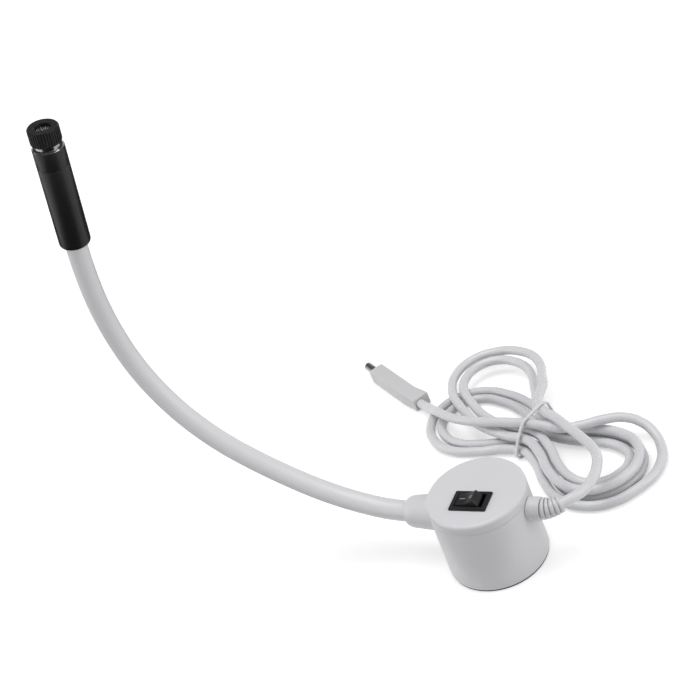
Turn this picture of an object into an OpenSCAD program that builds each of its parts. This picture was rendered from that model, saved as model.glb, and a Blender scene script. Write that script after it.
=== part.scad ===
// Gooseneck spot lamp with a magnetic base, as clipped to a sewing machine. Millimetres.
// The origin is the middle of the magnet face, +Z is up, the neck leaves along -X and the cord along +X.

/* [Base] */
// Diameter of the base at its foot
base_d = 54.2; // [53.8:0.1:56]
// Diameter of the base at its top
base_top_d = 53; // [52.6:0.1:55]
// Height of the base from the magnet face to its top
base_h = 44.6; // [44:0.1:46]
// Height of the skirt on the top cover
cover_skirt = 5.6; // [4.6:0.1:6.4]
// Radius of the cover's top edge
cover_edge = 1.8; // [0.8:0.1:2.2]
// Thickness of the dark plate under the base
plate_t = 0.8; // [0.6:0.1:1.2]
// Diameter of the ring magnet
magnet_d = 34; // [24:0.5:34]
// Height of the ring magnet
magnet_h = 8; // [5:0.5:10]

/* [Switch] */
// Length of the switch bezel
bezel_l = 20.2; // [19.8:0.1:21]
// Width of the switch bezel
bezel_w = 13.6; // [13.2:0.1:14.4]
// Height of the bezel above the cover
bezel_t = 1.2; // [0.9:0.1:1.5]
// Tilt of the rocker to either side
rocker_tilt = 16; // [13:0.5:16]
// Place of the switch along X
switch_x = 0.3; // [-1:0.1:1]
// Place of the switch along Y
switch_y = -7.8; // [-9:0.1:-7]

/* [Neck] */
// Diameter over the neck's plastic sleeve
neck_d = 11.2; // [11:0.1:11.3]
// Diameter of the wound core
core_d = 10.1; // [9.6:0.1:10.1]
// Height of the neck where it leaves the base
neck_z = 29; // [28.5:0.1:29.5]
// Diameter of the collar at the base wall
collar_root_d = 19.5; // [18.5:0.1:20.5]
// Diameter of the collar before its shoulder
collar_d = 17.5; // [16:0.1:18]

/* [Head] */
// Diameter of the head
head_d = 16.2; // [16:0.1:17]
// Length of the head
head_l = 68; // [67:0.5:74]
// Diameter of the ribbed focus cap
cap_d = 15.8; // [15.6:0.1:16]
// Number of ribs on the focus cap
cap_ribs = 36; // [24:1:48]
// Diameter of the light opening
aperture_d = 7.8; // [6:0.1:8]

/* [Cord] */
// Diameter of the cord
cord_d = 5.5; // [4.5:0.1:5.5]
// Length of the moulded plug, without its barrel
plug_l = 53; // [48:0.5:58]
// Width of the moulded plug
plug_w = 10.2; // [9.6:0.1:11.4]
// Height of the moulded plug
plug_h = 9.6; // [9.2:0.1:10.4]
// Length of the plug's barrel
barrel_l = 11.5; // [9:0.5:14]

/* [Hidden] */
$fn = 96;

// Finishes
pale = [0.84, 0.84, 0.85];
pale_sleeve = [0.80, 0.80, 0.82];
satin_black = [0.13, 0.12, 0.12];
dark_steel = [0.25, 0.25, 0.26];
bright = [0.80, 0.80, 0.82];
brass = [0.78, 0.62, 0.32];
board_green = [0.10, 0.35, 0.20];
wire_red = [0.70, 0.12, 0.10];

// Base
slack = 0.05;
bore_r = 24;
seam_z = base_h - cover_skirt;
seam_gap = 0.35;
seam_depth = 0.5;
cover_t = 2.4;
lip_h = 2.2;
lip_r = bore_r - 0.15;
lip_inner_r = bore_r - 1.7;
spigot_z = plate_t + 1.2;
boss_angles = [60, 180, 300];
boss_at = 20.8;
boss_d = 7;
boss_z = spigot_z + 0.2;
boss_h = 10;
screw_d = 2.8;
screw_head_d = 5.2;
screw_head_h = 1.2;
screw_l = 9;
screw_slot = [2.6, 0.6, 1.2];
plate_pin_d = 5.8;

// Switch, measured from the top of the cover
body_l = 18.2;
body_w = 12;
body_h = 14.1;
well_l = 15.1;
well_w = 9.2;
well_floor = 1.2 - body_h;
bezel_chamfer = 0.4;
cutout_gap = 0.4;
snap_w = 5;
snap_out = 0.7;
snap_low = -6;

// Rocker, measured from its pivot: dished top, sloping ends and a stem for the plunger
pivot_z = -3.6;
rocker_w = 8.4;
rocker_half = 5.1;
rocker_top = 7;
rocker_valley = 6.1;
rocker_foot = [6.6, 2.9];
rocker_heel = [6.3, 1.6];
stem_half = 2.4;
stem_root = -1;
stem_low = -4.2;
pin_r = 1.3;
plunger_r = 1.2;
plunger_top = -1.9;
plunger_reach = 5.3;

// Contacts, measured from the top of the cover
bar_z = -10.7;
bar_tilt = 7;
bar_l = 12;
bar_w = 4;
bar_t = 0.8;
contact_gap = 0.15;
blade_w = 4.8;
blade_t = 0.8;
blade_low = -22.1;
pad_x = 6.5;
pad_in = 4.2;

// Neck: the run of equal bends from the collar to the head, all in the plane y = 0
neck_out = 42;
seg_len = [18, 42, 42, 42, 42, 42, 28.5];
seg_turn = [14, 15.5, 9.5, 21, 21.5, 16, 6.5];
last_seg = len(seg_len) - 1;
sleeve_wall = 0.35;
core_bore = 4;
cable_d = 3.2;
ball_r = core_d / 2 - 0.25;
socket_gap = 0.25;
link_gap = 2.6;
shoulder_gap = 2;
stub_d = 13;
stub_in = 17;
core_in = 20;
sleeve_in = 30;
collar_mouth_r = 6.1;
collar_shoulder = 6;
shoulder_at = neck_out + 1 - collar_shoulder;
nut_h = 4;
nut_flat = 15;
lip_notch = [12, nut_flat + 4, 2 * lip_h - 0.4];
seat_x = 21.6;
seat_t = 2.9;
core_into_head = 8.9;
cable_in = 18;
cable_into_head = 10;

function flow(phi) = [-cos(phi), 0, sin(phi)];
function inward(phi) = [sin(phi), 0, cos(phi)];
function bend_r(i) = seg_len[i] * 180 / PI / seg_turn[i];
function heading(i) = i == 0 ? 0 : heading(i - 1) + seg_turn[i - 1];
function bend_start(i) = i == 0 ? [-neck_out, 0, neck_z]
    : bend_centre(i - 1) - bend_r(i - 1) * inward(heading(i));
function bend_centre(i) = bend_start(i) + bend_r(i) * inward(heading(i));
function bend_point(i, s) = bend_centre(i) - bend_r(i) * inward(heading(i) + s * 180 / PI / bend_r(i));
function base_r(z) = (base_d + (base_top_d - base_d) * z / base_h) / 2;

// Two-core cable through the neck, from the nut to the head
cable_route = concat(
    [[-cable_in, 0, neck_z]],
    [for (i = [0 : last_seg]) for (k = [0 : 5]) bend_point(i, seg_len[i] * k / 6)],
    [for (s = [0, cable_into_head]) bend_start(last_seg + 1) + s * flow(heading(last_seg + 1))]);

// Head, measured from its rear face
barrel_end = head_l - 21;
groove_low = head_l - 11;
cap_low = head_l - 8.5;
cap_wall = head_l - 1.6;
cap_groove = 0.45;
cap_edge = 0.7;
rim_chamfer = 0.6;
head_wall = 1.2;
head_edge = 2;
rear_wall = 2;
rear_hole_d = 12.2;
tube_d = 13.4;
tube_bore = 11.6;
tube_low = barrel_end + 1.5;
tube_high = head_l - 5;
spigot_low = barrel_end - 5;
board_low = 13;
board_high = spigot_low - 2;
board_t = 1.2;
board_w = 13.5;
wire_d = 1.4;
lens_d = 9.6;
lens_t = 3.4;
lens_edge = 1.2;
lens_h = head_l - 3.2;
cell_d = 11.5;
cell_bore = 9.7;
cell_low = head_l - 9.5;
cell_high = head_l - 1.8;
cell_lip_bore = 8.4;
cell_lip = lens_h + lens_edge / 2 + 0.3;
retainer_bore = 8;
retainer_h = 1.2;
retainer_top = lens_h - lens_edge / 2 - 0.4;

// Strain relief: a flange inside the wall, a solid root and a ribbed tail that bends to the back
relief_z = seam_z - 5.4;
relief_hole_d = 8.2;
flange_d = 9.8;
flange_low = 20.6;
flange_high = 23.4;
relief_root_d = 12;
relief_root_x = 33.3;
relief_bend_r = 12.2;
relief_bend = 45;
relief_core_d = 7.2;
relief_ribs = 5;
rib_first_d = 11.1;
rib_taper = 0.55;
rib_arc = 5.2;
rib_step = relief_bend / relief_ribs;
relief_tip = [
    relief_root_x + relief_bend_r * sin(relief_bend),
    relief_bend_r * (1 - cos(relief_bend)),
    relief_z
];
relief_way = [cos(relief_bend), sin(relief_bend), 0];

// Plug, lying on the table
plug_tail = [-89.4, 117, plug_h / 2];
plug_angle = 144.2;
plug_way = [cos(plug_angle), sin(plug_angle), 0];
plug_socket = 5;
plug_socket_d = 6.6;
pin_d = 5.5;
shank_d = 4.9;
shank_l = 8.9;
pin_bore = 4.1;
insulator_bore = 2.9;
contact_bore = 2.1;
pin_floor = plug_l - shank_l + 2;

// Hank: loops drawn in at the waist, in two layers, spiralling in on top and out again below
hank_middle = [0, 86, 0];
hank_angle = -30;
hank_first = 120;
hank_last = 1440;
hank_turn = 720;
hank_rings = 24;
hank_sides = 6;
loop_reach = 66;
loop_reach_3 = 6;
loop_width = 30;
loop_width_3 = 10;
loop_step = 6.8;
loop_inner = 1.65;
layer_h = 6.15;
floor_lift = 2.8;
waist_draw = 7;
waist_reach = 25;
waist_lift = 1.4;
waist_lift_reach = 16;
fan_start = 45;
fan_low = 10;
fan_high = -16;
reach_low = 1.12;
reach_high = 1.32;

function ease(t) = let (c = min(max(t, 0), 1)) c * c * (3 - 2 * c);
function plane_turn(p, a) = [p[0] * cos(a) - p[1] * sin(a), p[0] * sin(a) + p[1] * cos(a)];
function loop_point(a) = [loop_reach * cos(a) + loop_reach_3 * cos(3 * a),
                          loop_width * sin(a) + loop_width_3 * sin(3 * a)];
function loop_way(a) = [-loop_reach * sin(a) - 3 * loop_reach_3 * sin(3 * a),
                        loop_width * cos(a) + 3 * loop_width_3 * cos(3 * a)];
function loop_inset(a) = (loop_inner - abs(a - hank_turn) / 360) * loop_step;
function loop_run(a) =
    let (w = loop_way(a), p = loop_point(a) + loop_inset(a) * [-w[1], w[0]] / norm(w))
    [p[0], p[1] - sign(round(1000 * sin(a))) * waist_draw * exp(-pow(p[0] / waist_reach, 2))];
function hank_local(a) =
    let (p = loop_run(a),
         low = ease((a - hank_turn + 90) / 180),
         far = ease(-p[0] / fan_start),
         fan = far * (fan_low * low + fan_high * (1 - low)),
         reach = 1 + far * (reach_low * low + reach_high * (1 - low) - 1),
         q = plane_turn([p[0] * reach, p[1]], fan),
         over = a < 180 ? 1 - ease((a - 115) / 60) : 0)
    [q[0], q[1], floor_lift + layer_h * (1 - low + over)
        + waist_lift * exp(-pow(p[0] / waist_lift_reach, 2))];
function hank_place(p) = let (q = plane_turn(p, hank_angle)) hank_middle + [q[0], q[1], p[2]];
function hank_point(a) = hank_place(hank_local(a));
function unit(v) = v / norm(v);

hank_in = unit(hank_point(hank_first + 1) - hank_point(hank_first));
hank_out = unit(hank_point(hank_last) - hank_point(hank_last - 1));
hank_start = hank_point(hank_first) - cord_d * hank_in;
hank_end = hank_point(hank_last) + cord_d * hank_out;
hank_route = concat(
    [hank_start],
    [for (a = [hank_first : 360 / hank_rings : hank_last]) hank_point(a)],
    [hank_end]);

// Least gap of the hank's tube to itself, on four points in each run between rings
gap_points = [for (i = [0 : len(hank_route) - 2]) for (k = [0 : 3])
    hank_route[i] + (hank_route[i + 1] - hank_route[i]) * k / 4];
gap_skip = 12;
hank_gap = min([for (i = [0 : len(gap_points) - 1 - gap_skip])
    min([for (j = [i + gap_skip : len(gap_points) - 1]) norm(gap_points[i] - gap_points[j])])]) - cord_d;
echo(hank_least_gap_mm = hank_gap);

// Route of the cord from the strain relief, over the right-hand loops to the tie
lead_route = concat([relief_tip + 0.02 * relief_way], [
    [48, 10, 33.2], [51.2, 17, 32.2], [52.2, 26, 30.8], [51, 36.5, 29.2], [47.2, 47.5, 27.8],
    [41.6, 55.2, 26.8], [34.8, 62, 26], [23, 72.6, 24.8], [12.4, 82.8, 22.6], [3, 91.5, 19.2],
    [-3.5, 100.5, 17.2], [-6.5, 111, 16]
], [hank_start]);

// Route of the cord from the hank's last loop, over the waist and the left-hand loops to the plug.
// The first points are along and across the hank, the last ones are in the lamp's own frame.
tail_over_hank = [
    [74.5, 10, 2.8], [71, 20, 3], [64, 28.5, 4], [55, 33.5, 6.5], [46, 34, 10], [38, 29.5, 13.6],
    [31, 21, 15.4], [24, 11, 15.8], [15.6, 3.2, 15.8], [6.6, -0.6, 16.6], [-3.8, -4.8, 17],
    [-13.6, -9.2, 16.8], [-22.2, -13.2, 16.4], [-29.4, -16.6, 16], [-36.8, -19.6, 15.6]
];
tail_to_plug = [[-50.4, 89.8, 14.8], [-59.6, 94.4, 13.2], [-69.2, 101.2, 10.6], [-79.8, 109.6, 7.2]];
tail_route = concat(
    [hank_end], [for (p = tail_over_hank) hank_place(p)], tail_to_plug,
    [plug_tail, plug_tail + plug_socket * plug_way]);

// Tie: where it goes round the waist, and the two free stretches that it also holds
tie_u = -3;
tie_w = 1.6;
tie_t = 1.05;
tie_slack = 0.3;
tie_angles = [270, 450, 990, 1170, 1350];
tie_spread = 7;
tie_over = [[6.6, 19], [8.4, 18.4], [-3.8, 17], [-5.2, 17]];

// Wires inside the base
blade_wire_z = base_h + blade_low + 1;
wire_start = flange_low - 0.1;
wire_side = 1.2;
supply_route = [
    [wire_start, -wire_side, relief_z], [17.4, -1.4, 33], [14.6, -3.2, 29.6], [12.4, -6, 25.6],
    [10.4, switch_y, blade_wire_z], [switch_x + pad_x + blade_t / 2, switch_y, blade_wire_z]
];
switched_route = [
    [switch_x - blade_t / 2, switch_y, blade_wire_z], [-3, switch_y, blade_wire_z], [-8, -6.4, 24.6],
    [-12, -3.4, 27.4], [-15.2, -1, neck_z], [-cable_in, -0.8, neck_z]
];
return_route = [
    [wire_start, wire_side, relief_z], [17.4, 1.8, 32.8], [13.6, 4.4, 29.4], [9, 7.2, 25.6], [2, 8.6, 22.8],
    [-5, 7, 23.4], [-11, 3.6, 26.8], [-15.2, 1.1, neck_z], [-cable_in, 0.8, neck_z]
];

// Shared shapes

// Half of a revolved block whose upper edge is rounded
module rounded_half(r, h, edge) {
    square([r - edge, h]);
    square([r, h - edge]);
    translate([r - edge, h - edge]) circle(edge);
}

// Points along an arc
function arc(c, r, from, to, n) = [for (k = [0 : n])
    c + r * [cos(from + (to - from) * k / n), sin(from + (to - from) * k / n)]];

// Closed tube through the points of a route, square to the headings given for its two ends
module tube(route, d, sides, first, last, up = [0, 0, 1]) {
    n = len(route);
    way = [for (i = [0 : n - 1]) i == 0 ? first : i == n - 1 ? last : unit(route[i + 1] - route[i - 1])];
    rings = [for (i = [0 : n - 1])
        let (side = unit(cross(way[i], up)), top = cross(side, way[i]))
        for (k = [0 : sides - 1])
            let (a = 360 * (k + 0.5) / sides)
            route[i] + d / 2 * (cos(a) * side + sin(a) * top)];
    walls = [for (i = [0 : n - 2]) for (k = [0 : sides - 1])
        let (a = i * sides + k, b = i * sides + (k + 1) % sides)
        each [[a, b, b + sides], [a, b + sides, a + sides]]];
    near_end = [for (k = [1 : sides - 2]) [0, k + 1, k]];
    far = (n - 1) * sides;
    far_end = [for (k = [1 : sides - 2]) [far, far + k, far + k + 1]];
    polyhedron(points = rings, faces = concat(walls, near_end, far_end));
}

// Lays a shape's own Z axis along -X at the height of the neck
module along_neck() {
    translate([0, 0, neck_z]) rotate([0, -90, 0]) children();
}

// Sweeps a section round one bend of the neck, less a little at its start and end
module bend(i, skip = 0, short = 0) {
    degree = 180 / PI / bend_r(i);
    translate(bend_centre(i)) rotate([0, 90 + heading(i) + skip * degree, 0]) rotate([-90, 0, 0])
        rotate_extrude(angle = seg_turn[i] - (skip + short) * degree) translate([bend_r(i), 0]) children();
}

// Lays a shape's own Z axis along the neck at the start of a bend
module at_bend(i) {
    translate(bend_start(i)) rotate([0, heading(i) - 90, 0]) children();
}

// Places a shape in the head, whose own Z axis runs from its rear face to its cap
module in_head() {
    at_bend(last_seg + 1) children();
}

module in_switch() {
    translate([switch_x, switch_y, base_h]) children();
}

module in_relief() {
    translate([0, 0, relief_z]) children();
}

module in_plug() {
    translate(plug_tail) rotate(plug_angle) children();
}

module round_bar(from, to, d) {
    translate([0, 0, from]) cylinder(h = to - from, d = d);
}

module ring(from, to, d, bore) {
    translate([0, 0, from]) difference() {
        cylinder(h = to - from, d = d);
        translate([0, 0, -1]) cylinder(h = to - from + 2, d = bore);
    }
}

// Base

module base_cone(grow = 0, top = seam_z) {
    translate([0, 0, plate_t])
        cylinder(h = top - plate_t, r1 = base_r(plate_t) + grow, r2 = base_r(top) + grow);
}

module at_bosses() {
    for (a = boss_angles) rotate(a) translate([boss_at, 0, 0]) children();
}

module base_housing() color(pale) difference() {
    union() {
        difference() {
            base_cone();
            translate([0, 0, -1]) cylinder(h = base_h, r = bore_r);
        }
        at_bosses() translate([0, 0, boss_z]) cylinder(h = boss_h, d = boss_d);
        along_neck() round_bar(seat_x, seat_x + seat_t, nut_flat / cos(30) + 0.4);
    }
    at_bosses() cylinder(h = screw_l + 1, d = screw_d + 2 * slack);
    along_neck() round_bar(stub_in, base_d, stub_d + 0.2);
    in_relief() rotate([0, 90, 0]) cylinder(h = base_d, d = relief_hole_d);
}

module top_cover() color(pale) difference() {
    union() {
        translate([0, 0, seam_z]) rotate_extrude() difference() {
            rounded_half(base_top_d / 2, cover_skirt, cover_edge);
            translate([-1, -1]) square([lip_inner_r + 1, cover_skirt - cover_t + 1]);
            translate([base_top_d / 2 - seam_depth, -1]) square([2, 1 + seam_gap]);
        }
        ring(seam_z - lip_h, seam_z + seam_gap, 2 * lip_r, 2 * lip_inner_r);
    }
    in_switch() cube([body_l + cutout_gap, body_w + cutout_gap, 4 * cover_t], center = true);
    for (s = [-1, 1]) translate([s * bore_r, 0, seam_z - lip_h]) cube(lip_notch, center = true);
}

module bottom_plate() color(dark_steel) difference() {
    union() {
        cylinder(h = plate_t, d = base_d - 0.8);
        cylinder(h = spigot_z, r = bore_r - 0.2);
        cylinder(h = spigot_z + magnet_h - 1, d = plate_pin_d);
    }
    at_bosses() {
        translate([0, 0, -1]) cylinder(h = spigot_z + 2, d = screw_d + 0.3);
        translate([0, 0, -0.01])
            cylinder(h = screw_head_h + 0.1, d1 = screw_head_d + 0.2, d2 = screw_d + 0.3);
    }
}

module magnet() color(dark_steel) ring(spigot_z, spigot_z + magnet_h, magnet_d, plate_pin_d + 0.2);

module plate_screws() color(bright) at_bosses() translate([0, 0, slack]) difference() {
    union() {
        cylinder(h = screw_head_h, d1 = screw_head_d, d2 = screw_d);
        cylinder(h = screw_l, d = screw_d);
    }
    for (t = [0, 90]) rotate(t) cube(screw_slot, center = true);
}

// Switch

module chamfered_plate(l, w, h, chamfer) {
    module side(length, depth) {
        rotate([90, 0, 0]) linear_extrude(depth, center = true) polygon([
            [-length / 2, 0], [length / 2, 0], [length / 2, h - chamfer],
            [length / 2 - chamfer, h], [chamfer - length / 2, h], [-length / 2, h - chamfer]
        ]);
    }
    intersection() {
        side(l, w);
        rotate(90) side(w, l);
    }
}

module switch_housing() color(satin_black) in_switch() difference() {
    snap_top = -cover_t - 0.1;
    snap_root = body_l / 2 - 0.2;
    union() {
        chamfered_plate(bezel_l, bezel_w, bezel_t, bezel_chamfer);
        translate([0, 0, -body_h / 2]) cube([body_l, body_w, body_h], center = true);
        for (s = [0, 180]) rotate([90, 0, s]) linear_extrude(snap_w, center = true)
            polygon([[snap_root, snap_top], [body_l / 2 + snap_out, snap_top], [snap_root, snap_low]]);
    }
    translate([-well_l / 2, -well_w / 2, well_floor]) cube([well_l, well_w, body_h + bezel_t]);
    translate([0, 0, pivot_z]) rotate([90, 0, 0]) cylinder(h = body_w, r = pin_r + slack, center = true);
    for (x = [0, pad_x]) translate([x, 0, -body_h]) cube([blade_t + 0.2, blade_w + 0.2, 4], center = true);
}

module at_pivot() {
    in_switch() translate([0, 0, pivot_z]) rotate([0, -rocker_tilt, 0]) children();
}

module switch_rocker() color(satin_black) at_pivot() difference() {
    half = [
        [rocker_half, rocker_top], rocker_foot, rocker_heel, [stem_half, stem_root], [stem_half, stem_low]
    ];
    union() {
        rotate([90, 0, 0]) linear_extrude(rocker_w, center = true) polygon(concat(
            [[0, rocker_valley]], half,
            [for (k = [len(half) - 1 : -1 : 0]) [-half[k][0], half[k][1]]]));
        rotate([90, 0, 0]) cylinder(h = body_w - 0.6, r = pin_r, center = true);
    }
    round_bar(stem_low - 1, plunger_top + 0.3, 2 * (plunger_r + slack));
}

module rocker_plunger() color(bright) at_pivot() {
    round_bar(-plunger_reach, plunger_top, 2 * plunger_r);
    translate([0, 0, -plunger_reach]) sphere(plunger_r);
}

module contact_bar() color(brass) in_switch() translate([0, 0, bar_z]) rotate([0, bar_tilt, 0])
    cube([bar_l, bar_w, bar_t], center = true);

module switch_terminals() color(brass) in_switch() {
    blade_top = bar_z - bar_t / 2 - contact_gap;
    pad_top = blade_top - bar_l / 2 * sin(bar_tilt);
    translate([-blade_t / 2, -blade_w / 2, blade_low]) cube([blade_t, blade_w, blade_top - blade_low]);
    translate([pad_x - blade_t / 2, -blade_w / 2, blade_low]) cube([blade_t, blade_w, pad_top - blade_low]);
    translate([pad_in, -bar_w / 2, pad_top - bar_t]) cube([pad_x - pad_in, bar_w, bar_t]);
}

// Collar and neck

module neck_collar() color(pale) difference() {
    union() {
        difference() {
            along_neck() rotate_extrude() polygon(concat(
                [[0, bore_r], [collar_root_d / 2 + 0.2, bore_r], [collar_d / 2, shoulder_at]],
                [for (a = [15 : 15 : 90]) [collar_mouth_r + (collar_d / 2 - collar_mouth_r) * cos(a),
                                           shoulder_at + collar_shoulder * sin(a)]],
                [[0, shoulder_at + collar_shoulder]]));
            base_cone(slack);
        }
        along_neck() round_bar(stub_in, sleeve_in, stub_d);
    }
    along_neck() round_bar(stub_in - 1, sleeve_in + 1, core_d + 2 * slack);
    along_neck() round_bar(sleeve_in, neck_out + 3, neck_d + 0.2);
}

module collar_nut() color(bright) along_neck() translate([0, 0, seat_x - nut_h]) difference() {
    cylinder(h = nut_h, d = nut_flat / cos(30), $fn = 6);
    translate([0, 0, -1]) cylinder(h = nut_h + 2, d = stub_d + 2 * slack);
}

// Wound core between two bends of the neck: a round end turns in the hollow of the next link
module core_link(i) {
    module section() difference() {
        circle(d = core_d);
        circle(d = core_bore);
    }
    module round_end() rotate_extrude() intersection() {
        circle(ball_r);
        translate([core_bore / 2 + 0.4, -ball_r + 0.8]) square(2 * ball_r);
    }
    color(dark_steel) {
        difference() {
            bend(i, i == 0 ? 0 : link_gap, i == last_seg ? 0 : shoulder_gap) section();
            if (i > 0) translate(bend_start(i)) sphere(ball_r + socket_gap);
        }
        if (i == 0) along_neck() ring(core_in, neck_out, core_d, core_bore);
        if (i == last_seg) in_head() ring(-1, core_into_head, core_d - 0.1, core_bore + 0.4);
        else at_bend(i + 1) round_end();
    }
}

// Smooth plastic sleeve over one link
module sleeve_link(i) {
    color(pale_sleeve) {
        bend(i) difference() {
            circle(d = neck_d);
            circle(d = neck_d - 2 * sleeve_wall);
        }
        if (i == 0) along_neck() ring(sleeve_in, neck_out, neck_d, neck_d - 2 * sleeve_wall);
    }
}

module neck_core_root() core_link(0);
module neck_core_1() core_link(1);
module neck_core_2() core_link(2);
module neck_core_3() core_link(3);
module neck_core_4() core_link(4);
module neck_core_5() core_link(5);
module neck_core_tip() core_link(last_seg);
module neck_sleeve_root() sleeve_link(0);
module neck_sleeve_1() sleeve_link(1);
module neck_sleeve_2() sleeve_link(2);
module neck_sleeve_3() sleeve_link(3);
module neck_sleeve_4() sleeve_link(4);
module neck_sleeve_5() sleeve_link(5);
module neck_sleeve_tip() sleeve_link(last_seg);

module neck_cable() color(pale_sleeve)
    tube(cable_route, cable_d, 8, flow(0), flow(heading(last_seg + 1)), [0, 1, 0]);

// Strain relief

module relief_arc(from, to, d) {
    translate([relief_root_x, relief_bend_r, 0]) rotate(from - 90)
        rotate_extrude(angle = to - from) translate([relief_bend_r, 0]) circle(d = d);
}

module strain_relief() color(pale) {
    in_relief() {
        rotate([0, 90, 0]) round_bar(flange_low, flange_high, flange_d);
        rotate([0, 90, 0]) round_bar(flange_low, relief_root_x, relief_hole_d - 0.2);
        relief_arc(0, relief_bend, relief_core_d);
        for (k = [1 : relief_ribs])
            relief_arc(k * rib_step - rib_arc, k * rib_step, rib_first_d - rib_taper * (k - 1));
    }
    difference() {
        in_relief() rotate([0, 90, 0]) round_bar(bore_r, relief_root_x, relief_root_d);
        base_cone(slack, base_h);
    }
}

// Wires in the base

module wire_supply() color(wire_red) tube(supply_route, wire_d, 8, [-1, 0, 0], [-1, 0, 0]);

module wire_switched() color(wire_red) tube(switched_route, wire_d, 8, [-1, 0, 0], [-1, 0, 0]);

module wire_return() color(satin_black) tube(return_route, wire_d, 8, [-1, 0, 0], [-1, 0, 0]);

// Head

module neck_ferrule() color(brass) in_head() difference() {
    union() {
        round_bar(0, 9, rear_hole_d - 0.1);
        round_bar(rear_wall, rear_wall + 1.5, head_d - 2 * head_wall - 0.2);
    }
    round_bar(-1, 10, core_d + 2 * slack);
}

module head_barrel() color(satin_black) in_head() difference() {
    translate([0, 0, barrel_end]) mirror([0, 0, 1]) rotate_extrude()
        rounded_half(head_d / 2, barrel_end, head_edge);
    round_bar(rear_wall, barrel_end + 1, head_d - 2 * head_wall);
    round_bar(-1, rear_wall + 1, rear_hole_d);
}

module front_sleeve() color(satin_black) in_head() difference() {
    union() {
        round_bar(barrel_end, groove_low, head_d);
        round_bar(spigot_low, barrel_end + 1, head_d - 2 * head_wall - 0.1);
    }
    round_bar(spigot_low - 1, groove_low, tube_bore);
    round_bar(tube_low, groove_low + 1, tube_d + 2 * slack);
}

module lens_tube() color(bright) in_head() ring(tube_low, tube_high, tube_d, tube_bore);

module led_heatsink() color(bright) in_head() difference() {
    union() {
        round_bar(spigot_low - 1, spigot_low, head_d - 2 * head_wall - 0.2);
        round_bar(spigot_low - 1, tube_low + 1, tube_bore - 2 * slack);
    }
    for (s = [-1, 1]) translate([1.4, 3 * s, 0]) round_bar(spigot_low - 2, tube_low + 2, wire_d + 0.6);
}

module led_board() color(pale) in_head() round_bar(tube_low + 1, tube_low + 2, 11.2);

module led_emitter() color(brass) in_head() translate([0, 0, tube_low + 2]) {
    translate([-1.75, -1.75, 0]) cube([3.5, 3.5, 0.8]);
    translate([0, 0, 0.8]) difference() {
        sphere(1.4);
        translate([0, 0, -2]) cube(4, center = true);
    }
}

module driver_board() color(board_green) in_head()
    translate([-board_t / 2, -board_w / 2, board_low]) cube([board_t, board_w, board_high - board_low]);

module driver_parts() color(dark_steel) in_head() {
    translate([-board_t / 2, 0, 20]) rotate([0, -90, 0]) cylinder(h = 3.4, d = 6);
    translate([-board_t / 2 - 1.5, -2.5, 26]) cube([1.5, 5, 4]);
    translate([-board_t / 2 - 1.2, -3.6, 33]) cube([1.2, 3, 1.8]);
    translate([-board_t / 2 - 1.2, 0.6, 33]) cube([1.2, 3, 1.8]);
    translate([board_t / 2, -1.6, 22]) cube([2.4, 3.2, 6]);
}

module head_wires() color(wire_red) in_head() for (s = [-1, 1]) {
    tube([[0, 0.8 * s, cable_into_head], [0.9, 1.3 * s, 11.2], [1.4, 2 * s, 12.6], [1.4, 2.4 * s, 16]],
         wire_d, 8, [0, 0, 1], [0, 0, 1], [1, 0, 0]);
    tube([[1.4, 2.6 * s, board_high - 4], [1.4, 3 * s, board_high], [1.4, 3 * s, tube_low + 1]],
         wire_d, 8, [0, 0, 1], [0, 0, 1], [1, 0, 0]);
}

module lens_cell() color(dark_steel) in_head() difference() {
    round_bar(cell_low, cell_high, cell_d);
    round_bar(cell_low - 1, cell_lip, cell_bore);
    round_bar(cell_low, cell_high + 1, cell_lip_bore);
}

module lens() color([0.85, 0.90, 0.95]) in_head() translate([0, 0, lens_h]) rotate_extrude() intersection() {
    sag = (lens_t - lens_edge) / 2;
    r = (pow(lens_d / 2, 2) + sag * sag) / (2 * sag);
    translate([0, -lens_t / 2]) square([lens_d / 2, lens_t]);
    translate([0, lens_t / 2 - r]) circle(r);
    translate([0, r - lens_t / 2]) circle(r);
}

module lens_retainer() color(bright) in_head()
    ring(retainer_top - retainer_h, retainer_top, cell_bore - 2 * slack, retainer_bore);

module focus_cap() color(satin_black) in_head() difference() {
    pitch = 360 / cap_ribs;
    crest = cap_d / 2;
    root = crest - cap_groove;
    rib = [[0, crest], [0.5, crest], [0.65, root], [0.85, root]];
    intersection() {
        translate([0, 0, cap_low]) linear_extrude(head_l - cap_low) polygon(
            [for (k = [0 : cap_ribs - 1]) for (p = rib)
                p[1] * [cos((k + p[0]) * pitch), sin((k + p[0]) * pitch)]]);
        rotate_extrude() polygon([
            [0, cap_low], [crest - cap_edge, cap_low], [crest + slack, cap_low + cap_edge + slack],
            [crest + slack, head_l - cap_edge - slack], [crest - cap_edge, head_l], [0, head_l]
        ]);
    }
    round_bar(cap_low - 1, cap_wall, tube_d + 2 * slack);
    round_bar(cap_low, head_l + 1, aperture_d);
    translate([0, 0, head_l - rim_chamfer])
        cylinder(h = rim_chamfer + 0.01, d1 = aperture_d, d2 = aperture_d + 2 * rim_chamfer);
}

// Cord, hank and tie

module cord_lead() color(pale) tube(lead_route, cord_d, 8, relief_way, hank_in);

module cord_hank() color(pale) tube(hank_route, cord_d, hank_sides, hank_in, hank_out);

module cord_tail() color(pale) tube(tail_route, cord_d, 8, hank_out, plug_way);

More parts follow.
